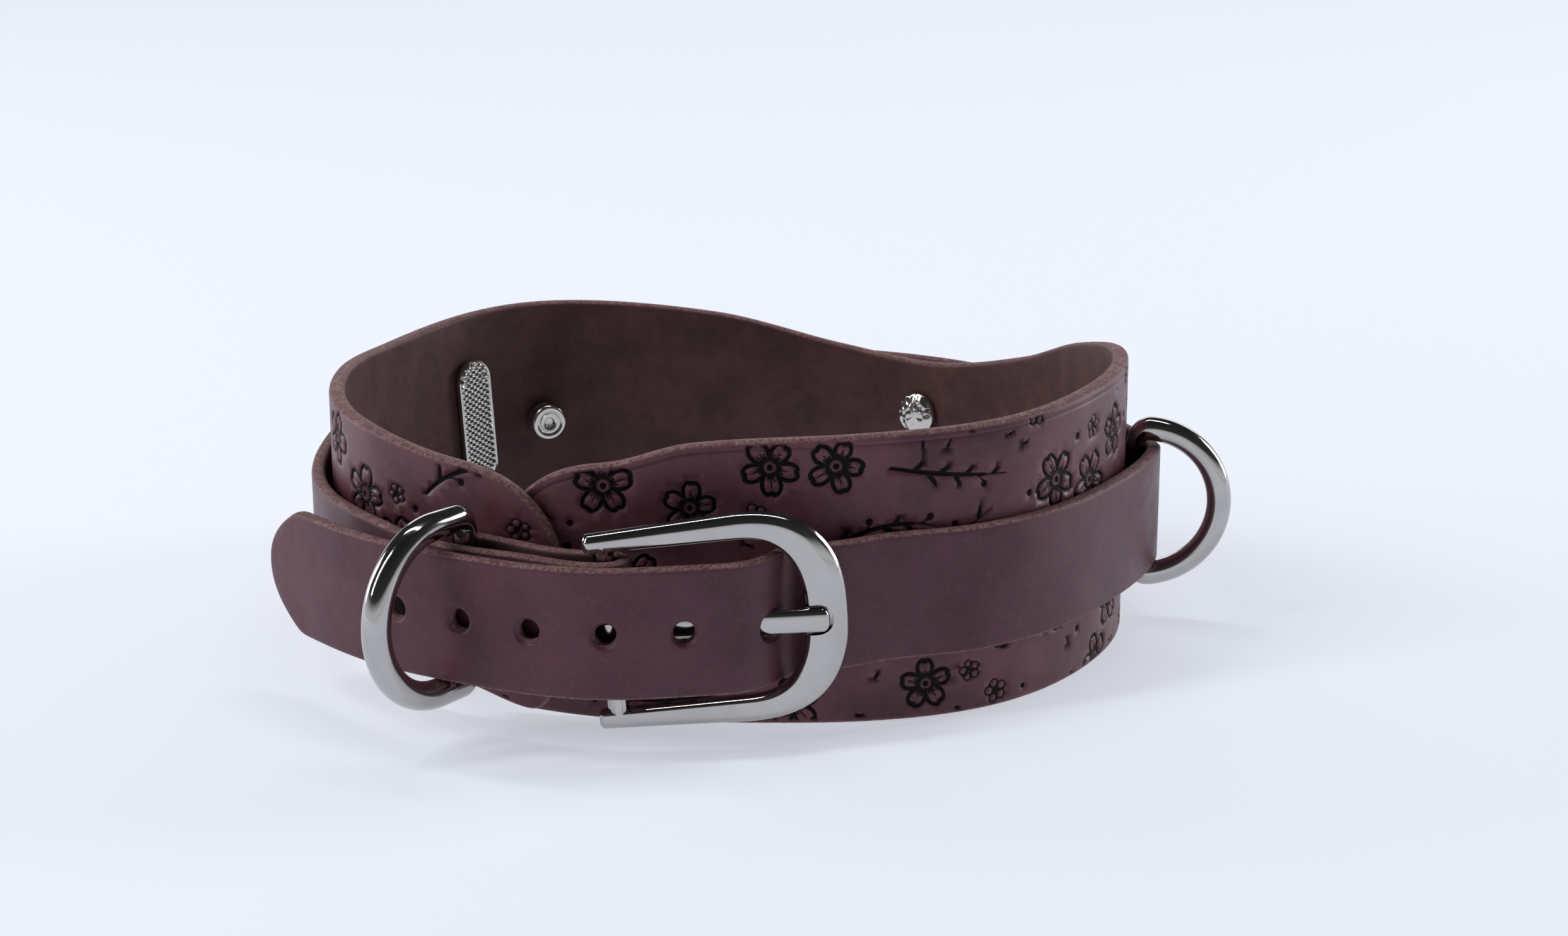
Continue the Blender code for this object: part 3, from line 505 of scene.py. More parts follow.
def rim_rows(thick, rounding, power=2.5, steps=8):
    """Rows (inset, place in the thickness, edge value) of a rounded edge, front face to back face."""
    rows = []
    for k in range(steps + 1):
        angle = math.pi * k / steps
        level = math.copysign(abs(math.cos(angle)) ** (2.0 / power), math.cos(angle)) * thick / 2
        rows.append((rounding * (1.0 - math.sin(angle) ** (2.0 / power)), level, k / steps))
    return rows


def face_triangles(loops, loop_ids, points, creases, add):
    """Triangles over one face, between its outline and its holes, through the given points."""
    bounds = np.vstack(loops)
    ids = list(np.concatenate(loop_ids))
    keep = inside(points, loops[0])
    for hole in loops[1:]:
        keep &= ~inside(points, hole)
    tree = plane_tree(bounds)
    for n in np.flatnonzero(keep):
        keep[n] = tree.find((*points[n], 0.0))[2] > 2.0 * NEAREST
    renumber = np.cumsum(keep) - 1 + len(bounds)
    creases = [(int(renumber[a]), int(renumber[b])) for a, b in creases if keep[a] and keep[b]]
    points = points[keep]
    start = 0
    for loop in loops:
        if start:
            creases += [(start + k, start + (k + 1) % len(loop)) for k in range(len(loop))]
        start += len(loop)
    coords = [Vector(point) for point in np.vstack([bounds, points]) / MM]
    made = delaunay_2d_cdt(coords, creases, [list(range(len(loops[0])))], 1, 1e-6)
    found, triangles, origins = made[0], made[2], made[3]
    new_ids = []
    fresh = []
    for place, origin in zip(found, origins):
        if origin and min(origin) < len(bounds):
            new_ids.append(ids[min(origin)])
        else:
            new_ids.append(None)
            fresh.append((place.x * MM, place.y * MM))
    fresh_ids = iter(add(np.array(fresh).reshape(-1, 2)))
    new_ids = [next(fresh_ids) if n is None else n for n in new_ids]
    zero = Vector((0.0, 0.0))
    centres = np.array([sum((found[n] for n in corners), zero) / 3 for corners in triangles]) * MM
    wanted = np.ones(len(triangles), dtype=bool)
    for hole in loops[1:]:
        wanted &= ~inside(centres, hole)
    return [[new_ids[n] for n in triangle] for triangle, w in zip(triangles, wanted) if w]


class Sheet:
    """A closed sheet in its own flat plane, with an edge value from 0 on its front to 1 on its back."""

    def __init__(self, outline, rim, front, back, holes=(), creases=()):
        self.flat, self.level, self.edge, self.faces = [], [], [], []
        self.count = 0
        turn_in = inward(outline)
        rims = [[(outline + turn_in * inset, level, value) for inset, level, value in rim]]
        stacks = rims + list(holes)
        ids = [[self.add(*row) for row in rows] for rows in stacks]
        for rows in ids:
            for row, ahead in zip(rows, rows[1:]):
                for k in range(len(row)):
                    after = (k + 1) % len(row)
                    self.faces.append((row[k], ahead[k], ahead[after], row[after]))
        for side, points, lines in ((0, front, creases), (-1, back, ())):
            level, value = rim[side][1:]
            triangles = face_triangles([rows[side][0] for rows in stacks], [rows[side] for rows in ids],
                                       points, lines, lambda new: self.add(new, level, value))
            self.faces += [t if side == 0 else t[::-1] for t in triangles]
        self.flat = np.vstack(self.flat)
        self.level = np.concatenate(self.level)
        self.edge = np.concatenate(self.edge)

    def add(self, points, level, value):
        """Keeps these points and gives their numbers."""
        self.flat.append(points)
        self.level.append(np.full(len(points), level))
        self.edge.append(np.full(len(points), value))
        ids = list(range(self.count, self.count + len(points)))
        self.count += len(points)
        return ids


def round_hole(middle, rows, sides=44):
    """A turned hole from (radius, place in the thickness, edge value) rows."""
    ring = compass(-full_turn(sides))
    return [(np.array(middle) + ring * radius, level, value) for radius, level, value in rows]


def slot_loop(start, end, up, half, sides=16):
    """Clockwise outline of a round-ended slot along the strap."""
    turns = np.radians(np.linspace(90.0, -90.0, sides))
    right = (end - half, up) + half * compass(turns)
    left = (start + half, up) - half * compass(turns)
    return resampled(np.vstack([right, left]), SLOT_STEP)


def thinned(points, nearest=NEAREST):
    """Drops each point that lies too near an earlier one."""
    cells = {}
    kept = []
    for n, (x, y) in enumerate(points):
        cx, cy = int(x // nearest), int(y // nearest)
        near = (m for i in (-1, 0, 1) for j in (-1, 0, 1) for m in cells.get((cx + i, cy + j), ()))
        if all((points[m][0] - x) ** 2 + (points[m][1] - y) ** 2 > nearest ** 2 for m in near):
            cells.setdefault((cx, cy), []).append(n)
            kept.append(n)
    return np.array(kept, dtype=int)


def crossings(xs, ys):
    return np.stack(np.meshgrid(xs, ys), axis=-1).reshape(-1, 2)


def grid(low, high, step):
    return crossings(*(np.arange(low[k] + step / 2, high[k], step) for k in (0, 1)))


# Mesh objects

def mesh_piece(name, vertices, faces, sharp=None, **attributes):
    """One object from points and faces, turned outwards, with values kept on its points."""
    vertices = np.asarray(vertices)
    fans = np.array([(face[0], face[k], face[k + 1]) for face in faces for k in range(1, len(face) - 1)])
    a, b, c = (vertices[fans[:, k]] for k in range(3))
    if np.einsum("ij,ij->", a, np.cross(b, c)) < 0.0:
        faces = [tuple(face)[::-1] for face in faces]
    mesh = bpy.data.meshes.new(name)
    mesh.from_pydata(vertices.tolist(), [], [tuple(int(n) for n in face) for face in faces])
    for key, values in attributes.items():
        layer = mesh.attributes.new(key, "FLOAT", "POINT")
        layer.data.foreach_set("value", np.asarray(values, dtype=np.float32))
    mesh.shade_smooth()
    if sharp is not None:
        mesh.set_sharp_from_angle(angle=sharp)
    mesh.update()
    made = bpy.data.objects.new(name, mesh)
    bpy.context.scene.collection.objects.link(made)
    return made


def combine(piece, tool, how):
    """Joins on or cuts away at once; the tool is then gone."""
    modifier = piece.modifiers.new("combine", "BOOLEAN")
    modifier.operation = how
    modifier.object = tool
    modifier.solver = "EXACT"
    graph = bpy.context.evaluated_depsgraph_get()
    mesh = bpy.data.meshes.new_from_object(piece.evaluated_get(graph))
    piece.modifiers.clear()
    piece.data = mesh
    bpy.data.objects.remove(tool)
    return piece


def dress(piece, look, node, body):
    """Gives a piece its material and body, in place of a node of the frame."""
    piece.data.materials.clear()
    piece.data.materials.append(look)
    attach(piece, body)
    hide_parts(node)


def stand_matrix(plan, z, out, up_axis="Z"):
    """Turns a body's own X axis along a plan direction, or its Z axis with up_axis X."""
    outward = Vector((out[0], out[1], 0.0))
    upward = Vector((0.0, 0.0, 1.0))
    if up_axis == "Z":
        axes = (outward, upward.cross(outward), upward)
    else:
        axes = (upward, outward.cross(upward), outward)
    place = plan + SHIFT
    return Matrix.Translation((place[0], place[1], z)) @ Matrix(axes).transposed().to_4x4()


def moved(matrix, points):
    points = np.asarray(points)
    turn = np.array(matrix.to_3x3())
    return points @ turn.T + np.array(matrix.translation)


# Engraving

SEED = 23
STROKE_STEP = 0.42 * MM
ENGRAVE_DEPTH = 0.32 * MM
STROKE_WALL = 0.15              # sloping side of a stroke, as a share of its width
WIDE_MARK = 1.25 * MM           # a mark wider than this is a round dot
STREW_TRIES = 4000

TWIGS = (18, (22.0 * MM, 32.0 * MM), 3.4 * MM)              # how many, their sizes, room round each
BLOSSOMS = (46, (5.0 * MM, 6.4 * MM), 0.2 * MM)
SMALL_BLOSSOMS = (44, (2.1 * MM, 2.8 * MM), 0.5 * MM)
DOTS = (70, (0.45 * MM, 0.95 * MM), 0.9 * MM)
SEEDS = (60, (1.2 * MM, 2.0 * MM), 0.4 * MM)
TWIG_BOW = (-1.3, 1.3)
TWIG_LINE = 1.05 * MM
BLOSSOM_LINE = (0.92 * MM, 1.05 * MM)
SMALL_LINE = 0.62 * MM
SEED_LINE = 0.55 * MM


class Drawing:
    """Engraved strokes as stations: place, heading and width."""

    def __init__(self):
        self.rows = []

    def stroke(self, line, widths):
        line = np.asarray(line, dtype=float)
        at = running_length(line)
        count = max(int(round(at[-1] / STROKE_STEP)), 1)
        wanted = np.linspace(0.0, at[-1], count + 1)
        places = read_line(line, at, wanted)
        heading = np.gradient(places, axis=0)
        heading /= np.maximum(np.linalg.norm(heading, axis=1), 1e-9)[:, None]
        wide = np.interp(wanted / at[-1], np.linspace(0.0, 1.0, len(widths)), widths)
        self.rows.append(np.hstack([places, heading, wide[:, None]]))

    def dot(self, place, radius):
        self.rows.append(np.array([[place[0], place[1], 1.0, 0.0, 2.2 * radius]]))

    def stations(self):
        return np.vstack(self.rows)


def draw_blossom(drawing, place, radius, angle, line, rng):
    """Five notched petals round a ring of stamens."""
    shares = np.linspace(0.0, 1.0, 40)
    for k in range(5):
        spread = math.radians(33.0 + rng.uniform(-2.0, 2.0))
        length = radius * rng.uniform(0.93, 1.05)
        bearing = angle + 2.0 * math.pi * k / 5 + rng.uniform(-0.05, 0.05)
        turn = bearing + (shares - 0.5) * 2.0 * spread
        notch = 0.10 * np.exp(-((shares - rng.uniform(0.44, 0.56)) / 0.07) ** 2)
        reach = length * (0.26 + 0.74 * np.sin(math.pi * shares) ** 0.5 - notch)
        petal = compass(turn) * reach[:, None]
        drawing.stroke(petal + place, line * np.array([0.7, 1.0, 0.9, 1.1, 0.9, 1.0, 0.7]))
        for side in (-0.24, 0.0, 0.24):
            way = compass(bearing + side)
            ends = (0.25, rng.uniform(0.48, 0.66) if side == 0.0 else rng.uniform(0.38, 0.5))
            drawing.stroke([place + way * radius * share for share in ends], line * np.array([0.75, 0.5]))
    drawing.dot(place, 0.13 * radius)


def draw_small_blossom(drawing, place, radius, angle, line, rng):
    """Five round petals and a dot."""
    turns = np.linspace(0.0, 2.0 * math.pi, 16)
    for k in range(5):
        bearing = angle + 2.0 * math.pi * k / 5
        middle = place + 0.60 * radius * compass(bearing)
        petal = compass(turns) * radius * rng.uniform(0.30, 0.36)
        drawing.stroke(middle + petal, [line, line])
    drawing.dot(place, 0.16 * radius)


def draw_twig(drawing, place, length, angle, bow, line, rng):
    """A bowed stem with leaves and buds on both sides."""
    shares = np.linspace(0.0, 1.0, 30)
    turn = angle + bow * (shares - 0.5)
    stem = np.cumsum(compass(turn) * length / len(shares), axis=0)
    stem = stem - stem[len(stem) // 2] + place
    drawing.stroke(stem, line * np.array([0.75, 1.0, 0.8, 0.5]))
    side = 1
    for share in np.arange(0.18, 0.97, 0.115):
        k = int(share * (len(stem) - 1))
        way = turn[k] + side * rng.uniform(0.55, 0.85)
        reach = length * rng.uniform(0.10, 0.17) * (1.15 - 0.5 * share)
        curl = way + side * np.linspace(-0.25, 0.35, 6)
        leaf = stem[k] + np.cumsum(compass(curl) * reach / len(curl), axis=0)
        if rng.uniform() < 0.3:
            drawing.stroke(leaf, line * np.array([0.6, 0.55]))
            drawing.dot(leaf[-1], line * 0.75)
        else:
            drawing.stroke(leaf, line * np.array([0.5, 1.15, 1.0, 0.35]))
        side = -side


def draw_seed(drawing, place, length, angle, line):
    """A short pointed oval."""
    half = compass(angle) * length / 2
    drawing.stroke([place - half, place + half], line * np.array([0.5, 1.5, 1.5, 0.5]))


def engraving(outline):
    """Blossoms, twigs and dots strewn over the band's outer face; some run out over its edges."""
    rng = np.random.default_rng(SEED)
    drawing = Drawing()
    taken = []
    low, high = outline.min(axis=0), outline.max(axis=0)

    def on_band(place):
        bottom, top = band_heights(place[:1])
        return bottom[0] < place[1] < top[0]

    def free(places, radius):
        return all(math.hypot(p[0] - q[0], p[1] - q[1]) > radius + r for p in places for q, r in taken)

    def strew(kind, draw, long=False):
        count, sizes, room = kind
        made = tries = 0
        while made < count and tries < STREW_TRIES:
            tries += 1
            place = rng.uniform(low, high)
            size = rng.uniform(*sizes)
            angle = rng.uniform(0.0, 2.0 * math.pi)
            places, reach = [place], size + room
            if long:
                angle = rng.choice([0.0, math.pi]) + rng.uniform(-0.5, 0.5)
                places = [place + compass(angle) * size * share for share in (-0.4, -0.2, 0.0, 0.2, 0.4)]
                reach = room
            if on_band(place) and free(places, reach):
                taken.extend((here, reach) for here in places)
                draw(place, size, angle)
                made += 1

    strew(TWIGS, lambda *drawn: draw_twig(drawing, *drawn, rng.uniform(*TWIG_BOW), TWIG_LINE, rng),
          long=True)
    strew(BLOSSOMS, lambda *drawn: draw_blossom(drawing, *drawn, rng.uniform(*BLOSSOM_LINE), rng))
    strew(SMALL_BLOSSOMS, lambda *drawn: draw_small_blossom(drawing, *drawn, SMALL_LINE, rng))
    strew(DOTS, lambda place, radius, angle: drawing.dot(place, radius))
    strew(SEEDS, lambda *drawn: draw_seed(drawing, *drawn, SEED_LINE))
    return drawing.stations()


def stroke_points(stations):
    """Mesh points along the strokes: middle line, flat bottom and upper edges."""
    places, heading, wide = stations[:, :2], stations[:, 2:4], stations[:, 4:]
    across = np.stack([-heading[:, 1], heading[:, 0]], axis=-1)
    dots = stations[:, 4] > WIDE_MARK
    rows = [places]
    for share in (0.5, -0.5, 0.33, -0.33):
        rows.append(places + across * wide * share)
    for share in (0.33, 0.5):
        for way in compass(np.linspace(0.0, 2.0 * math.pi, 10, endpoint=False)):
            rows.append(places[dots] + wide[dots] * share * way)
    return np.vstack(rows)


def burn_values(points, stations):
    """How deep each point lies in a stroke, from 0 outside to 1 on its flat bottom."""
    tree = plane_tree(stations[:, :2])
    values = np.zeros(len(points))
    widest = stations[:, 4].max() / 2 + STROKE_STEP
    for n, (x, y) in enumerate(points):
        for _, m, _ in tree.find_range((x, y, 0.0), widest):
            px, py, hx, hy, wide = stations[m]
            along = abs((x - px) * hx + (y - py) * hy)
            across = abs((y - py) * hx - (x - px) * hy)
            spare = STROKE_STEP / 2 if wide < WIDE_MARK else 0.0
            share = math.hypot(max(along - spare, 0.0), across) / wide
            values[n] = max(values[n], min(max((0.5 - share) / STROKE_WALL, 0.0), 1.0))
    return values


# Leather pieces

RIM_SHARE = 0.34                # rounding of a leather edge, as a share of its thickness
CREASE_IN = 1.5 * MM            # creased line below the band's upper edge
CREASE_DEPTH = 0.16 * MM
CREASE_WIDTH = 0.5 * MM
CREASE_BURN = 0.35              # how dark the creased line is beside the engraving
CREASE_TO = 0.30                # share of the loop where the creased line ends
WAVE = 0.05 * MM                # unevenness of the leather faces
BORE_LEVELS = ((0.5, 0.0), (0.0, 0.5), (-0.5, 1.0))     # share of the thickness, edge value


def rivet_holes(rows_of):
    """Holes for the rivets' posts, under their caps."""
    radius = POST_RADIUS + FIT
    for _, share, above_middle in RIVETS:
        yield round_hole((rows_of(share), STRAP_MIDDLE + above_middle),
                         [(radius, level, value) for level, value in BORE_LEVELS], sides=20)


def scaled_holes(holes, thick):
    return [[(loop, level * thick, value) for loop, level, value in rows] for rows in holes]


def band_place(flat, level):
    share = flat[:, 0] / LOOP.length
    plan = spot(share, lap(share) + level) + SHIFT
    return np.column_stack([plan, flat[:, 1]])


def make_band(look):
    outline = band_outline()
    stations = engraving(outline)
    crease = crease_line(outline)
    drawn = np.vstack([stations, crease])
    low, high = outline.min(axis=0), outline.max(axis=0)
    front = np.vstack([stroke_points(drawn), grid(low, high, BAND_GRID)])
    front = front[thinned(front)]
    back = grid(low, high, BAND_BACK_GRID)
    holes = scaled_holes(rivet_holes(lambda share: share * LOOP.length), BAND_THICK)
    sheet = Sheet(outline, rim_rows(BAND_THICK, RIM_SHARE * BAND_THICK), front, back, holes)
    on_front = sheet.edge == 0.0
    burn = np.zeros(sheet.count)
    burn[on_front] = burn_values(sheet.flat[on_front], stations)
    pressed = np.zeros(sheet.count)
    pressed[on_front] = burn_values(sheet.flat[on_front], crease)
    level = sheet.level - ENGRAVE_DEPTH * burn - CREASE_DEPTH * pressed
    place = band_place(sheet.flat, level + uneven(sheet.flat))
    burn = np.maximum(burn, CREASE_BURN * pressed)
    made = mesh_piece("band_skin", place, sheet.faces, burn=burn, edge=sheet.edge)
    dress(made, look, "band", "collar")


def crease_line(outline):
    """A line pressed in beside the upper edge, over the inner end and on to the right."""
    line = outline + inward(outline) * (CREASE_IN + RIM_SHARE * BAND_THICK * 0.3)
    low, high = band_heights(line[:, 0])
    near = line[(line[:, 1] > (low + high) / 2) & (line[:, 0] < CREASE_TO * LOOP.length)]
    near = near[np.argsort(near[:, 0])]
    drawing = Drawing()
    drawing.stroke(near, [CREASE_WIDTH, CREASE_WIDTH])
    return drawing.stations()


def uneven(flat):
    """A slow unevenness of hand-worked leather."""
    return np.array([WAVE * noise.noise((x / (14.0 * MM), y / (11.0 * MM), 0.0)) for x, y in flat])


def strap_place(flat, level):
    """Lays the flat strap along its route, leaning with the buckle round the heel bar."""
    distance, z = flat[:, 0], flat[:, 1]
    along = STRAP.along(distance)
    plan = STRAP.point(distance) + turned(along, math.pi / 2) * np.asarray(level)[:, None]
    middle = bend_middle()
    arc = math.pi / 2 * HEEL_BEND
    away = np.maximum(np.abs(distance - middle) - arc, 0.0)
    lean = (1.0 - smooth((away - ROLL_KEPT) / ROLL_FADE)) * math.tan(BUCKLE_ROLL)
    heel_drop = math.sin(BUCKLE_ROLL) * FRAME_LENGTH / 2
    shift = -(z - STRAP_MIDDLE + heel_drop) * lean
    plan = plan + shift[:, None] * BUCKLE_ALONG + SHIFT
    return np.column_stack([plan, z])


FREE_HOLE = (                   # radius in mm, share of the thickness, edge value: a dish and a bore
    (3.00, 0.500, 0.00), (2.82, 0.485, 0.01), (2.62, 0.445, 0.03), (2.42, 0.375, 0.06),
    (2.24, 0.280, 0.10), (2.10, 0.160, 0.20), (2.02, 0.000, 0.50), (2.00, -0.350, 0.80),
    (2.10, -0.470, 0.95), (2.25, -0.500, 1.00))

PRONG_HOLE = (                  # share of the thickness, edge value, widening in mm
    (0.5, 0.0, 0.55), (0.46, 0.03, 0.35), (0.36, 0.08, 0.15), (0.2, 0.2, 0.0),
    (0.0, 0.5, 0.0), (-0.4, 0.85, 0.0), (-0.5, 1.0, 0.2))
PRONG_HOLE_HALF = 3.3 * MM      # half its length along the strap


def tail_crossing():
    """Where along the strap the prong comes through."""
    return STRAP.nearest(buckle_spot(PRONG_CROSSING, 0.0))


def prong_meets(level):
    """Where along the strap the prong's middle line passes, this far out in its thickness."""
    distances = tail_crossing() + np.linspace(-8.0, 8.0, 321) * MM
    side = turned(STRAP.along(distances), math.pi / 2)
    rel = STRAP.point(distances) + side * level - HEEL_SPOT
    ahead, out = rel @ BUCKLE_ALONG, rel @ BUCKLE_OUT
    wanted = (PRONG_THICK / 2 + FIT) * smooth(ahead / PRONG_LENGTH)
    return distances[np.argmin(np.abs(out - wanted))]


def strap_holes():
    """Free holes, prong hole, slot in the fold and rivet holes."""
    holes = []
    dish = [(radius * MM, level, value) for radius, level, value in FREE_HOLE]
    for k in range(HOLE_COUNT):
        holes.append(round_hole((tail_crossing() + HOLE_FIRST + k * HOLE_PITCH, STRAP_MIDDLE), dish))
    up = STRAP_MIDDLE - PRONG_DROP * PRONG_CROSSING / PRONG_LENGTH
    rows = []
    for level, value, more in PRONG_HOLE:
        middle = prong_meets(level * STRAP_THICK)
        half = PRONG_WIDTH / 2 + PRONG_SLACK + more * MM
        long = PRONG_HOLE_HALF + more * MM
        rows.append((slot_loop(middle - long, middle + long, up, half), level, value))
    count = min(len(loop) for loop, _, _ in rows)
    holes.append([(resampled(loop, count=count), level, value) for loop, level, value in rows])
    start = STRAP.nearest(buckle_spot(-SLOT_LENGTH, -HEEL_BEND))
    loop = slot_loop(start, 2 * bend_middle() - start, STRAP_MIDDLE, PRONG_WIDTH / 2 + PRONG_SLACK)
    holes.append([(loop, level, value) for level, value in BORE_LEVELS])
    holes += rivet_holes(lambda share: STRAP.nearest(spot(share, strap_out(share))))
    return scaled_holes(holes, STRAP_THICK)


def make_strap(look):
    outline = strap_outline()
    low, high = outline.min(axis=0), outline.max(axis=0)
    run = resampled(np.array([[low[0], 0.0], [high[0], 0.0]]), STRAP_GRID, closed=False,
                    weight=closer_in_bend)[:, 0]
    points = crossings(run, np.linspace(low[1], high[1], STRAP_ROWS)[1:-1])
    sheet = Sheet(outline, rim_rows(STRAP_THICK, RIM_SHARE * STRAP_THICK), points, points, strap_holes())
    place = strap_place(sheet.flat, sheet.level + uneven(sheet.flat))
    made = mesh_piece("strap_skin", place, sheet.faces, burn=np.zeros(sheet.count), edge=sheet.edge)
    dress(made, look, "strap", "collar")


# Rings

def ring_path(bow, depth, corner, fine=8):
    """Middle line of a D ring in (out, up): bow, rounded corners and bar, with a bar share each."""
    if depth > corner:
        end = math.pi / 2
        corner_up = bow - corner
    else:
        corner_up = math.sqrt((bow - corner) ** 2 - (depth - corner) ** 2)
        end = math.atan2(corner_up, corner - depth)
    half = [(depth + bow * math.cos(a), bow * math.sin(a), 0.0) for a in np.linspace(0.0, end, 9 * fine)]
    for k, angle in enumerate(np.linspace(end, math.pi, 3 * fine)[1:], start=1):
        share = float(smooth(k / (3 * fine - 1)))
        half.append((corner + corner * math.cos(angle), corner_up + corner * math.sin(angle), share))
    half += [(0.0, corner_up * (1.0 - k / fine), 1.0) for k in range(1, fine + 1)]
    mirrored = [(out, -up, share) for out, up, share in reversed(half[1:-1])]
    return half + mirrored


def make_ring(name, look, node, body, matrix, bow, depth, wire, bar, sides=36):
    """D-shaped ring in its own axes: the straight bar on Z, the bow out along X."""
    path = np.array(ring_path(bow, depth, RING_CORNER))
    plan = path[:, :2]
    radius = wire + (bar - wire) * path[:, 2]
    turns = full_turn(sides)
    flat = plan[:, None, :] + inward(plan)[:, None, :] * (radius[:, None] * np.cos(turns))[:, :, None]
    deep = radius[:, None] * np.sin(turns)
    points = np.stack([flat[..., 0], deep, flat[..., 1]], axis=-1).reshape(-1, 3)
    faces = tube_faces(len(path), sides, closed=True)
    made = mesh_piece(name, moved(matrix, points), faces)
    dress(made, look, node, body)


def tube_faces(rings, sides, closed=False):
    faces = []
    for k in range(rings if closed else rings - 1):
        ahead = (k + 1) % rings
        for n in range(sides):
            after = (n + 1) % sides
            faces.append((k * sides + n, k * sides + after, ahead * sides + after, ahead * sides + n))
    return faces


def closed_faces(rings, sides):
    """Faces of a tube with both ends fanned to a middle point; the two come after the rings."""
    faces = tube_faces(rings, sides)
    last = (rings - 1) * sides
    middle = rings * sides
    for n in range(sides):
        after = (n + 1) % sides
        faces += [(after, n, middle), (last + n, last + after, middle + 1)]
    return faces


def capped_tube(name, rings):
    """A closed body through rings of equal point counts."""
    ends = [rings[0].mean(axis=0), rings[-1].mean(axis=0)]
    faces = closed_faces(len(rings), len(rings[0]))
    return mesh_piece(name, np.vstack([*rings, ends]), faces, sharp=math.radians(40.0))


def level_ring(radius, z, sides):
    """A ring of points round Z."""
    return np.column_stack([radius * compass(full_turn(sides)), np.full(sides, z)])


# Buckle

FRAME_ROUND = 0.42 * MM         # cut of the frame section's corners
NOTCH_SLACK = 0.1 * MM
PRONG_SIDES = 40
PRONG_POWER = 0.8               # below one squares the shank's section
PRONG_NOSE = 1.7 * MM


def buckle_matrix():
    """The buckle's own axes: X from heel to bow, Y outwards, Z down the heel bar, with its roll."""
    ahead = Vector((*BUCKLE_ALONG, 0.0))
    out = Vector((*BUCKLE_OUT, 0.0))
    axes = Matrix((ahead, out, ahead.cross(out))).transposed().to_4x4()
    middle = Matrix.Translation((FRAME_LENGTH / 2, 0.0, 0.0))
    roll = middle @ Matrix.Rotation(BUCKLE_ROLL, 4, "Y") @ middle.inverted()
    place = HEEL_SPOT + SHIFT
    return Matrix.Translation((place[0], place[1], STRAP_MIDDLE)) @ axes @ roll


def frame_edges(steps_arm=30, steps_bow=150):
    """Pairs of inner and outer (ahead, up) points from the upper arm's end to the lower's."""
    inner_half = FRAME_END_HALF - ARM_WIDTH
    bow_from = BOW_FROM * FRAME_LENGTH
    power = 2.0 / BOW_POWER
    pairs = []
    for k in range(steps_arm):
        share = k / steps_arm
        ahead = -ARM_OVERHANG + (bow_from + ARM_OVERHANG) * share
        outer = FRAME_END_HALF + (FRAME_HALF - FRAME_END_HALF) * share
        pairs.append(((ahead, inner_half), (ahead, outer)))
    for k in range(steps_bow + 1):
        angle = math.pi / 2 * (1.0 - 2.0 * k / steps_bow)
        cosine = max(math.cos(angle), 0.0) ** power
        sine = math.copysign(abs(math.sin(angle)) ** power, math.sin(angle))
        pairs.append(((bow_from + (BOW_INNER - bow_from) * cosine, inner_half * sine),
                      (bow_from + (FRAME_LENGTH - bow_from) * cosine, FRAME_HALF * sine)))
    pairs += [((a[0], -a[1]), (b[0], -b[1])) for a, b in reversed(pairs[:steps_arm])]
    return pairs


def rounded_corners(corners, cut, steps=4):
    """A closed outline with each corner replaced by a short curve."""
    corners = np.asarray(corners)
    points = []
    for before, here, after in zip(np.roll(corners, 1, axis=0), corners, np.roll(corners, -1, axis=0)):
        back, on = before - here, after - here
        start = here + back * min(cut / np.linalg.norm(back), 0.45)
        end = here + on * min(cut / np.linalg.norm(on), 0.45)
        for share in np.linspace(0.0, 1.0, steps):
            points.append((1 - share) ** 2 * start + 2 * share * (1 - share) * here + share ** 2 * end)
    return np.array(points)


def make_frame(look):
    """Horseshoe frame with its heel bar and the notch for the prong."""
    pairs = np.array(frame_edges())
    rings = []
    for inner, outer in pairs:
        width = np.linalg.norm(outer - inner)
        corners = [(across * width, out * FRAME_THICK / 2) for across, out in FRAME_SECTION]
        section = rounded_corners(corners, FRAME_ROUND)
        spots = inner + (outer - inner) * (section[:, :1] / width)
        rings.append(np.column_stack([spots[:, 0], section[:, 1], spots[:, 1]]))
    rings = end_cap(rings[0]) + rings + end_cap(rings[-1])[::-1]
    made = capped_tube("frame_metal", rings)
    bar = capped_tube("bar_shape", bar_rings(HEEL_RADIUS, FRAME_END_HALF - ARM_WIDTH / 2))
    combine(made, bar, "UNION")
    notch = capped_tube("notch_shape", notch_rings(PRONG_WIDTH / 2 + PRONG_SLACK + NOTCH_SLACK))
    combine(made, notch, "DIFFERENCE")
    dress_buckle(made, look, "buckle_frame")


def dress_buckle(made, look, node):
    """Puts a piece made in the buckle's own axes in its place."""
    made.data.transform(buckle_matrix())
    made.data.shade_smooth()
    made.data.set_sharp_from_angle(angle=math.radians(38.0))
    dress(made, look, node, "collar")


def end_cap(ring, reach=1.1 * MM, steps=6):
    """Rings that close an arm's end in a round nose."""
    middle = ring.mean(axis=0)
    rows = []
    for k in range(steps, 0, -1):
        angle = math.pi / 2 * k / steps * 0.97
        row = middle + (ring - middle) * (0.35 + 0.65 * math.cos(angle))
        row[:, 0] = ring[:, 0] - reach * math.sin(angle)
        rows.append(row)
    return rows


def bar_rings(radius, half, sides=32):
    return [level_ring(radius, z, sides) for z in (-half, half)]


def notch_rings(half, sides=12):
    """Round-ended channel through the bow's front half, for the prong's tip."""
    tip = BOW_INNER + NOTCH_LENGTH - half
    line = [(tip + half * x, half * z) for x, z in compass(np.radians(np.linspace(-90.0, 90.0, sides)))]
    line += [(BOW_INNER - NOTCH_LENGTH, half), (BOW_INNER - NOTCH_LENGTH, -half)]
    return [np.array([(x, out, PRONG_DROP + z) for x, z in line]) for out in (0.0, FRAME_THICK)]


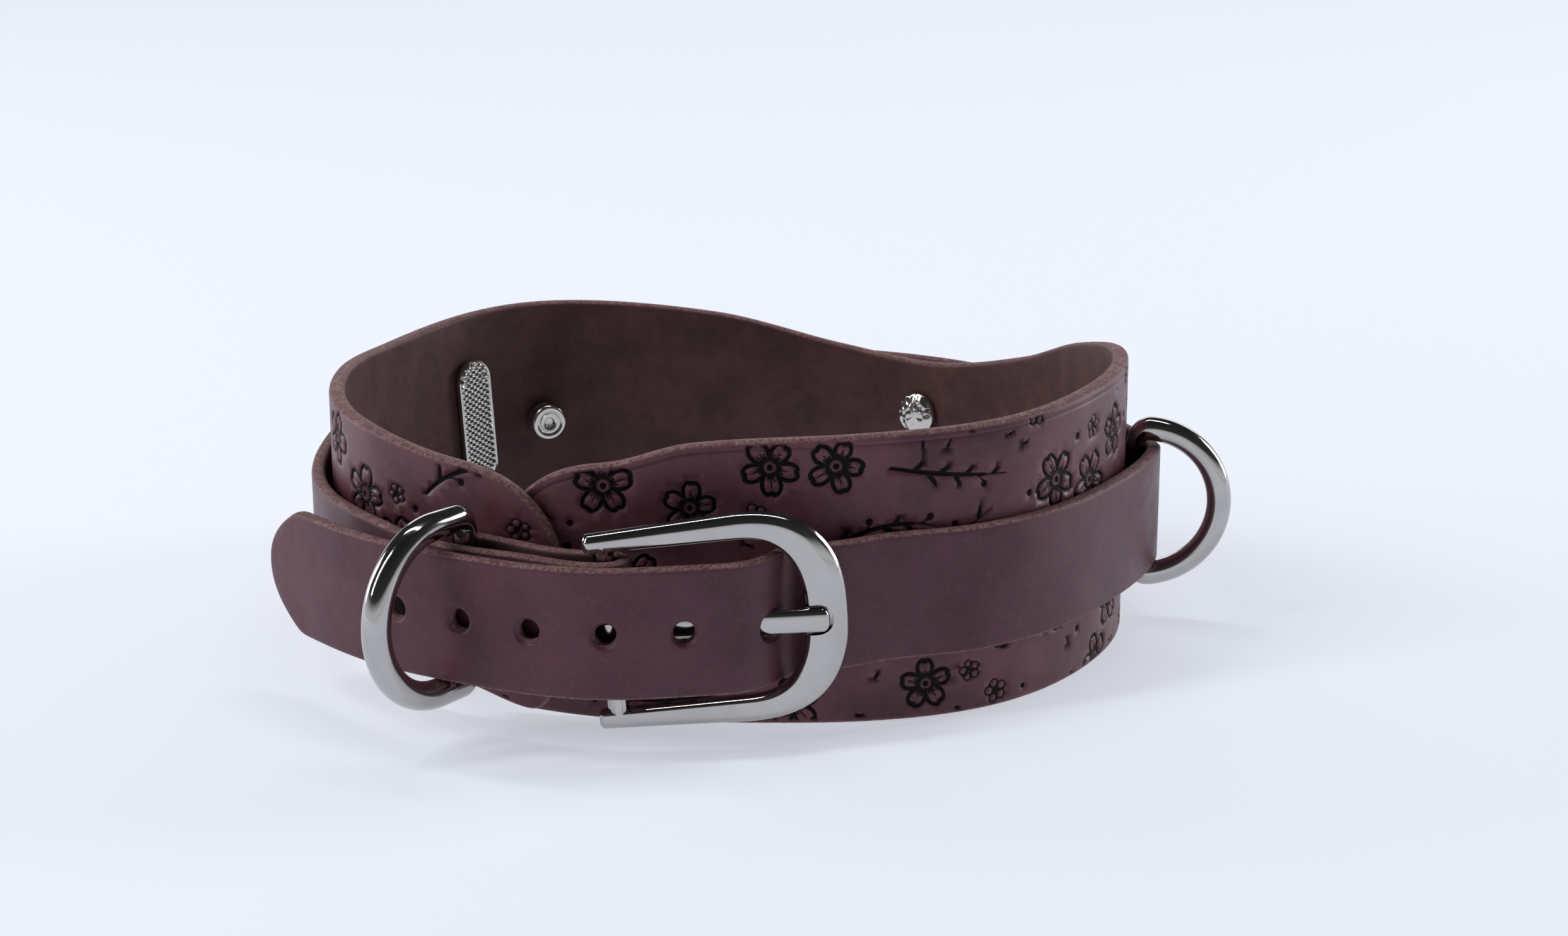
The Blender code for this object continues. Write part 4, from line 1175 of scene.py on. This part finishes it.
def make_prong(look):
    """Eye round the heel bar and a shank out to the notch."""
    half = PRONG_WIDTH / 2
    eye_radius = HEEL_RADIUS + FIT + PRONG_WALL
    made = capped_tube("prong_metal", bar_rings(eye_radius, half, PRONG_SIDES))
    start = HEEL_RADIUS + FIT + 0.35 * PRONG_WALL
    lift = PRONG_THICK / 2 + FIT
    ways = compass(full_turn(PRONG_SIDES))
    shape = np.sign(ways) * np.abs(ways) ** PRONG_POWER
    shank = PRONG_LENGTH - start
    nose = PRONG_NOSE / shank
    shares = list(np.linspace(0.0, 1.0 - nose, 30))
    shares += [1.0 - nose * (1.0 - math.sin(a)) for a in np.linspace(0.1, math.pi / 2, 12)]
    rings = []
    for share in shares:
        past = max(0.0, 1.0 - (1.0 - share) / nose)
        size = max(math.sqrt(max(1.0 - past ** 2.4, 0.0)), 0.08)
        middle = lift * float(smooth(share))
        rings.append(np.column_stack([
            np.full(PRONG_SIDES, start + shank * share),
            middle + shape[:, 0] * PRONG_THICK / 2 * size,
            shape[:, 1] * half * size + PRONG_DROP * share]))
    combine(made, capped_tube("shank_shape", rings), "UNION")
    bore = capped_tube("bore_shape", bar_rings(HEEL_RADIUS + FIT, PRONG_WIDTH, PRONG_SIDES))
    combine(made, bore, "DIFFERENCE")
    dress_buckle(made, look, "buckle_prong")


# Rivets and plate

DENTS = 70
DENT_DEPTH = 0.32               # as a share of a dent's size
CAP_SPREAD = 0.06               # how much wider than high a hammered cap is


def dome_profile(radius, height, base, side, steps=12):
    """Profile points of a rounded cap from its rim to its crown, growing towards side."""
    rim = 0.32 * height
    points = [(0.94 * radius, base), (0.985 * radius, base + side * 0.05 * height),
              (radius, base + side * 0.14 * height), (radius, base + side * rim)]
    for k in range(1, steps):
        angle = math.pi / 2 * k / steps
        points.append((radius * math.cos(angle), base + side * (rim + (height - rim) * math.sin(angle))))
    return points


def turned_body(profile, sides=72):
    """Points and faces of a body turned round Z from (radius, z) points that start and end on the axis."""
    rows = [level_ring(radius, z, sides) for radius, z in profile[1:-1]]
    ends = [(0.0, 0.0, profile[0][1]), (0.0, 0.0, profile[-1][1])]
    return np.vstack([*rows, ends]), closed_faces(len(rows), sides)


def hammered(points, base, rng):
    """Small flat dents over a cap's crown, deepest in the middle of each."""
    centres = rng.uniform(-CAP_RADIUS, CAP_RADIUS, (DENTS, 2))
    sizes = rng.uniform(0.55, 0.95, DENTS) * MM
    dents = np.zeros(len(points))
    for centre, size in zip(centres, sizes):
        apart = np.linalg.norm(points[:, :2] - centre, axis=1)
        dents = np.maximum(dents, np.clip(1.0 - (apart / size) ** 2, 0.0, 1.0) * size)
    crown = np.clip((base - points[:, 2]) / (0.5 * CAP_HEIGHT), 0.0, 1.0)
    beaten = points.copy()
    beaten[:, 2] += DENT_DEPTH * dents * crown
    beaten[:, 0] *= 1.0 + CAP_SPREAD * (points[:, 2] < base)
    return beaten


def make_rivet(look, name, share, height, rng):
    """Outer dome, post and inner cap, turned round the rivet's axis."""
    inner = -BAND_THICK / 2 - FIT - CAP_AIR
    outer = BAND_THICK / 2 + FIT + STRAP_THICK + FIT
    top = [(0.0, outer + CAP_HEIGHT)] + list(reversed(dome_profile(CAP_RADIUS, CAP_HEIGHT, outer, 1)))
    post = [(POST_RADIUS, outer), (POST_RADIUS, inner)]
    if name == "rivet_left":
        lower = [(width * STUD_RADIUS, inner - depth * STUD_HEIGHT) for width, depth in STUD_PROFILE]
    else:
        lower = dome_profile(CAP_RADIUS, CAP_HEIGHT, inner, -1, 22) + [(0.0, inner - CAP_HEIGHT)]
    points, faces = turned_body(top + post + lower)
    if name != "rivet_left":
        points = hammered(points, inner, rng)
    matrix = stand_matrix(spot(share, lap(share)), height, loop_out(share), up_axis="X")
    made = mesh_piece(f"{name}_metal", moved(matrix, points), faces, sharp=math.radians(50.0))
    dress(made, look, name, "collar")


KNURL = 1.15 * MM               # pitch of the plate's pyramids
KNURL_DEPTH = 0.42 * MM
KNURL_ANGLE = math.radians(52.0)
BEAD = 0.78 * MM
BEAD_HEIGHT = KNURL_DEPTH + 0.1 * MM
BEADS = 7

PLATE_RIM = (                   # inset, height above the plate's foot, edge value
    (0.55 * MM, PLATE_THICK - KNURL_DEPTH, 0.0), (0.25 * MM, PLATE_THICK - 0.15 * MM, 0.0),
    (0.05 * MM, PLATE_THICK - 0.35 * MM, 0.0), (0.0, PLATE_THICK - 0.7 * MM, 0.0),
    (0.0, 0.3 * MM, 0.0), (0.15 * MM, 0.0, 1.0))


def make_plate(look):
    """Round-ended plate with crossed rows of pyramids and a string of beads round its upper end."""
    half = PLATE_WIDTH / 2
    turns = np.radians(np.linspace(-90.0, 90.0, 24))
    reach = PLATE_LENGTH / 2 - half
    end = (reach, 0.0) + half * compass(turns)
    beads = (reach, 0.0) + 0.74 * half * compass(np.radians(np.linspace(-84.0, 84.0, BEADS)))
    points, heights, creases = knurl_points(half, beads)
    back = grid((-PLATE_LENGTH / 2, -half), (PLATE_LENGTH / 2, half), MM)
    sheet = Sheet(resampled(np.vstack([end, -end]), PLATE_STEP), PLATE_RIM, points, back, creases=creases)
    level = sheet.level.copy()
    tree = plane_tree(points)
    for n in np.flatnonzero(sheet.edge == 0.0):
        _, k, apart = tree.find((*sheet.flat[n], 0.0))
        if apart < 1e-6:
            level[n] += heights[k]
    out = -loop_out(PLATE_AT)
    stand = stand_matrix(spot(PLATE_AT, -BAND_THICK / 2 - 2 * FIT), PLATE_MIDDLE, out, up_axis="X")
    lean = Matrix.Rotation(PLATE_LEAN, 4, Vector((*out, 0.0)))
    matrix = Matrix.Translation(stand.translation) @ lean @ stand.to_3x3().to_4x4()
    made = mesh_piece("plate_metal", moved(matrix, np.column_stack([sheet.flat, level])), sheet.faces,
                      sharp=math.radians(28.0))
    dress(made, look, "knurled_plate", "collar")


def knurl_points(half, beads):
    """Valley crossings, pyramid tips and bead points, with their heights and the valleys' lines."""
    a = KNURL * compass(KNURL_ANGLE)
    b = a * np.array([1.0, -1.0])
    points, heights, creases, number = [], [], [], {}
    span = int(PLATE_LENGTH / KNURL) + 4

    def clear(place):
        return all(np.linalg.norm(place - bead) > 1.15 * BEAD for bead in beads)

    for i in range(-span, span):
        for j in range(-span, span):
            node = i * a + j * b
            if abs(node[0]) > PLATE_LENGTH / 2 or abs(node[1]) > half:
                continue
            if clear(node):
                number[i, j] = len(points)
                points.append(node)
                heights.append(0.0)
            tip = node + (a + b) / 2
            if clear(tip):
                points.append(tip)
                heights.append(KNURL_DEPTH)
    for (i, j), n in number.items():
        for other in ((i + 1, j), (i, j + 1)):
            if other in number:
                creases.append((n, number[other]))
    for bead in beads:
        points.append(bead)
        heights.append(BEAD_HEIGHT)
        for share in (0.35, 0.6, 0.8, 0.93, 1.0):
            for way in compass(np.linspace(0.0, 2.0 * math.pi, 12, endpoint=False)):
                points.append(bead + BEAD * share * way)
                heights.append(BEAD_HEIGHT * math.sqrt(max(1.0 - share ** 2, 0.0)))
    return np.array(points), heights, creases


# Materials

def srgb(red, green, blue):
    """Linear colour from the usual 0 to 255 values."""
    values = []
    for value in (red, green, blue):
        value /= 255.0
        values.append(value / 12.92 if value <= 0.04045 else ((value + 0.055) / 1.055) ** 2.4)
    return (*values, 1.0)


class Look:
    """A material with a few short ways to add and join its nodes."""

    def __init__(self, name):
        self.material = bpy.data.materials.new(name)
        self.material.use_nodes = True
        self.tree = self.material.node_tree
        self.shader = self.tree.nodes["Principled BSDF"]
        self.place = self.tree.nodes.new("ShaderNodeTexCoord").outputs["Object"]

    def set(self, **values):
        for key, value in values.items():
            self.shader.inputs[key.replace("_", " ")].default_value = value

    def link(self, source, target):
        self.tree.links.new(source, target)

    def feed(self, source, target):
        """Sets a constant or links an output."""
        if isinstance(source, (tuple, float)):
            target.default_value = source
        else:
            self.link(source, target)

    def noise(self, scale, detail=3.0, rough=0.5, stretch=(1.0, 1.0, 1.0)):
        mapping = self.tree.nodes.new("ShaderNodeMapping")
        mapping.inputs["Scale"].default_value = stretch
        self.link(self.place, mapping.inputs["Vector"])
        made = self.tree.nodes.new("ShaderNodeTexNoise")
        made.inputs["Scale"].default_value = scale
        made.inputs["Detail"].default_value = detail
        made.inputs["Roughness"].default_value = rough
        self.link(mapping.outputs["Vector"], made.inputs["Vector"])
        return made.outputs["Fac"]

    def cells(self, scale):
        made = self.tree.nodes.new("ShaderNodeTexVoronoi")
        made.inputs["Scale"].default_value = scale
        self.link(self.place, made.inputs["Vector"])
        return made.outputs["Distance"]

    def value(self, name):
        made = self.tree.nodes.new("ShaderNodeAttribute")
        made.attribute_name = name
        return made.outputs["Fac"]

    def ramp(self, source, stops):
        """A ramp from (place, colour or grey) stops."""
        made = self.tree.nodes.new("ShaderNodeValToRGB")
        made.color_ramp.interpolation = "EASE"
        elements = made.color_ramp.elements
        while len(elements) < len(stops):
            elements.new(0.5)
        for element, (place, colour) in zip(elements, stops):
            element.position = place
            element.color = colour if isinstance(colour, tuple) else (colour, colour, colour, 1.0)
        self.link(source, made.inputs["Fac"])
        return made.outputs["Color"]

    def mix(self, share, first, second):
        made = self.tree.nodes.new("ShaderNodeMix")
        made.data_type = "RGBA"
        self.feed(share, made.inputs["Factor"])
        self.feed(first, made.inputs[6])
        self.feed(second, made.inputs[7])
        return made.outputs[2]

    def math(self, how, first, second):
        made = self.tree.nodes.new("ShaderNodeMath")
        made.operation = how
        self.feed(first, made.inputs[0])
        self.feed(second, made.inputs[1])
        return made.outputs[0]

    def bump(self, height, strength, distance, before=None):
        made = self.tree.nodes.new("ShaderNodeBump")
        made.inputs["Strength"].default_value = strength
        made.inputs["Distance"].default_value = distance
        self.link(height, made.inputs["Height"])
        if before is not None:
            self.link(before, made.inputs["Normal"])
        return made.outputs["Normal"]


def leather_look(name, dark, light, flesh_dark, flesh_light, gloss):
    """Burnished leather: smooth grain side, rough cut edge with pale specks, softer back."""
    look = Look(name)
    edge, burn = look.value("edge"), look.value("burn")
    blotches = look.noise(60.0, 5.0, 0.62)
    freckles = look.noise(900.0, 3.0, 0.6)
    grain = look.mix(look.ramp(blotches, ((0.32, 0.0), (0.68, 1.0))), dark, light)
    grain = look.mix(look.ramp(freckles, ((0.52, 0.0), (0.78, 0.30))), grain, srgb(112, 74, 82))
    fibres = look.noise(1500.0, 4.0, 0.75)
    rim = look.mix(look.ramp(fibres, ((0.36, 0.0), (0.62, 1.0))), srgb(86, 54, 56), srgb(160, 124, 122))
    worn = look.ramp(look.noise(260.0, 4.0, 0.7), ((0.42, 0.0), (0.60, 1.0)))
    rim = look.mix(look.math("MULTIPLY", worn, 0.5), rim, srgb(100, 68, 70))
    nap = look.noise(90.0, 6.0, 0.72)
    back = look.mix(look.ramp(nap, ((0.30, 0.0), (0.70, 1.0))), flesh_dark, flesh_light)
    on_rim = look.ramp(edge, ((0.05, 0.0), (0.20, 0.85), (0.72, 0.8), (0.95, 0.0)))
    on_back = look.ramp(edge, ((0.80, 0.0), (0.97, 1.0)))
    colour = look.mix(on_rim, grain, rim)
    colour = look.mix(on_back, colour, back)
    colour = look.mix(burn, colour, srgb(7, 5, 6))
    look.link(colour, look.shader.inputs["Base Color"])
    shine = look.ramp(look.noise(140.0, 4.0, 0.6), ((0.30, gloss - 0.05), (0.70, gloss + 0.07)))
    rough = look.mix(on_rim, shine, (0.78, 0.78, 0.78, 1.0))
    rough = look.mix(on_back, rough, (0.66, 0.66, 0.66, 1.0))
    rough = look.mix(burn, rough, (0.62, 0.62, 0.62, 1.0))
    look.link(rough, look.shader.inputs["Roughness"])
    pores = look.bump(look.cells(1700.0), 0.10, 0.00012)
    creased = look.bump(look.noise(650.0, 5.0, 0.6), 0.16, 0.00020, pores)
    deep = look.math("MULTIPLY", fibres, look.math("ADD", on_rim, 0.12))
    look.link(look.bump(deep, 0.55, 0.00045, creased), look.shader.inputs["Normal"])
    look.link(look.ramp(burn, ((0.0, 0.27), (0.8, 0.08))), look.shader.inputs["Specular IOR Level"])
    look.set(Coat_Weight=0.08, Coat_Roughness=0.34, Coat_IOR=1.45)
    return look.material


def metal_look(name, colour, rough, cloud):
    """Polished plate: faint clouding and hair scratches in its gloss."""
    look = Look(name)
    haze = look.noise(110.0, 4.0, 0.6)
    dull = (*(0.90 * c for c in colour[:3]), 1.0)
    tint = look.mix(look.ramp(haze, ((0.30, 0.0), (0.72, 1.0))), colour, dull)
    look.link(tint, look.shader.inputs["Base Color"])
    shine = look.ramp(look.noise(420.0, 6.0, 0.7), ((0.35, rough), (0.75, rough + cloud)))
    look.link(shine, look.shader.inputs["Roughness"])
    hairs = look.noise(900.0, 3.0, 0.6, stretch=(1.0, 1.0, 0.12))
    look.link(look.bump(hairs, 0.05, 0.00004), look.shader.inputs["Normal"])
    look.set(Metallic=1.0)
    return look.material


# Studio

FLOOR_SIZE = 12.0
FLOOR_COLOUR = srgb(236, 241, 251)


def make_floor():
    points = [(-FLOOR_SIZE, -FLOOR_SIZE, 0.0), (FLOOR_SIZE, -FLOOR_SIZE, 0.0),
              (FLOOR_SIZE, FLOOR_SIZE, 0.0), (-FLOOR_SIZE, FLOOR_SIZE, 0.0)]
    mesh = bpy.data.meshes.new("floor")
    mesh.from_pydata(points, [], [(0, 1, 2, 3)])
    floor = bpy.data.objects.new("floor", mesh)
    bpy.context.scene.collection.objects.link(floor)
    look = Look("floor_paper")
    half = tuple(0.60 * c for c in FLOOR_COLOUR[:3]) + (1.0,)
    look.set(Base_Color=half, Roughness=0.9, Specular_IOR_Level=0.1)
    look.set(Emission_Color=FLOOR_COLOUR, Emission_Strength=0.545)
    mesh.materials.append(look.material)


LIGHT_AIM = (0.0, 0.0, 0.03)

LIGHTS = (                      # name, place, size, power
    ("left_strip", (-1.0, -0.45, 1.0), (0.16, 1.2), 9.0),
    ("back_panel", (0.2, 1.7, 0.75), (2.2, 0.5), 7.0),
    ("right_panel", (1.4, 0.55, 0.45), (0.5, 0.8), 11.0),
    ("left_panel", (-1.4, 0.6, 0.45), (0.5, 0.8), 8.0),
    ("top_strip", (0.1, 0.25, 1.5), (1.3, 0.10), 5.0))


def make_light(name, place, size, power):
    data = bpy.data.lights.new(name, "AREA")
    data.shape = "RECTANGLE"
    data.size, data.size_y = size
    data.energy = power
    lamp = bpy.data.objects.new(name, data)
    lamp.location = place
    lamp.rotation_euler = (Vector(LIGHT_AIM) - Vector(place)).to_track_quat("-Z", "Y").to_euler()
    bpy.context.scene.collection.objects.link(lamp)


# Height from straight down to straight up as 0 to 1, and the grey there
WORLD_STOPS = ((0.0, 0.80), (0.53, 0.80), (0.58, 0.50), (0.64, 0.05), (1.0, 0.02))


def make_world():
    """Pale all round the horizon, dark overhead."""
    world = bpy.data.worlds.new("studio")
    bpy.context.scene.world = world
    world.use_nodes = True
    tree = world.node_tree
    background = tree.nodes["Background"]
    place = tree.nodes.new("ShaderNodeTexCoord").outputs["Generated"]
    split = tree.nodes.new("ShaderNodeSeparateXYZ")
    tree.links.new(place, split.inputs[0])
    spread = tree.nodes.new("ShaderNodeMapRange")
    spread.inputs["From Min"].default_value = -1.0
    tree.links.new(split.outputs["Z"], spread.inputs["Value"])
    ramp = tree.nodes.new("ShaderNodeValToRGB")
    elements = ramp.color_ramp.elements
    while len(elements) < len(WORLD_STOPS):
        elements.new(0.5)
    for element, (at, grey) in zip(elements, WORLD_STOPS):
        element.position = at
        element.color = (grey * 0.96, grey * 0.985, grey * 1.03, 1.0)
    tree.links.new(spread.outputs["Result"], ramp.inputs["Fac"])
    tree.links.new(ramp.outputs["Color"], background.inputs["Color"])
    background.inputs["Strength"].default_value = 1.0


def make_camera():
    data = bpy.data.cameras.new("camera")
    data.sensor_width = SENSOR
    data.lens = SENSOR * FOCAL_PIXELS / IMAGE_WIDTH
    camera = bpy.data.objects.new("camera", data)
    camera.location = CAMERA_PLACE
    camera.rotation_euler = (CAMERA_TILT, 0.0, 0.0)
    bpy.context.scene.collection.objects.link(camera)
    bpy.context.scene.camera = camera


def main():
    bpy.context.scene.view_settings.view_transform = "Standard"
    make_camera()
    make_world()
    make_floor()
    for row in LIGHTS:
        make_light(*row)

    band_leather = leather_look(
        "band_leather", srgb(80, 44, 53), srgb(104, 63, 72), srgb(62, 37, 38), srgb(84, 54, 51), 0.42)
    strap_leather = leather_look(
        "strap_leather", srgb(77, 42, 53), srgb(89, 52, 63), srgb(56, 33, 37), srgb(72, 45, 47), 0.44)
    nickel = metal_look("nickel", (0.48, 0.465, 0.455, 1.0), 0.08, 0.07)
    rivet_metal = metal_look("rivet_metal", (0.66, 0.64, 0.60, 1.0), 0.16, 0.10)

    make_band(band_leather)
    make_strap(strap_leather)
    make_frame(nickel)
    make_prong(nickel)
    keeper = stand_matrix(KEEPER_BAR_AT, STRAP_MIDDLE + KEEPER_LIFT, KEEPER_OUT)
    make_ring("keeper_metal", nickel, "keeper_ring", "collar", keeper,
              KEEPER_BOW, KEEPER_REACH, KEEPER_WIRE, KEEPER_BAR)
    lead = stand_matrix(LEAD_BAR_AT, STRAP_MIDDLE, LEAD_OUT)
    make_ring("lead_ring_metal", nickel, "lead_ring", "lead_ring", lead,
              LEAD_BOW, LEAD_DEPTH, LEAD_WIRE, LEAD_BAR)
    rng = np.random.default_rng(SEED)
    for name, share, above_middle in RIVETS:
        make_rivet(rivet_metal, name, share, STRAP_MIDDLE + above_middle, rng)
    make_plate(rivet_metal)


main()
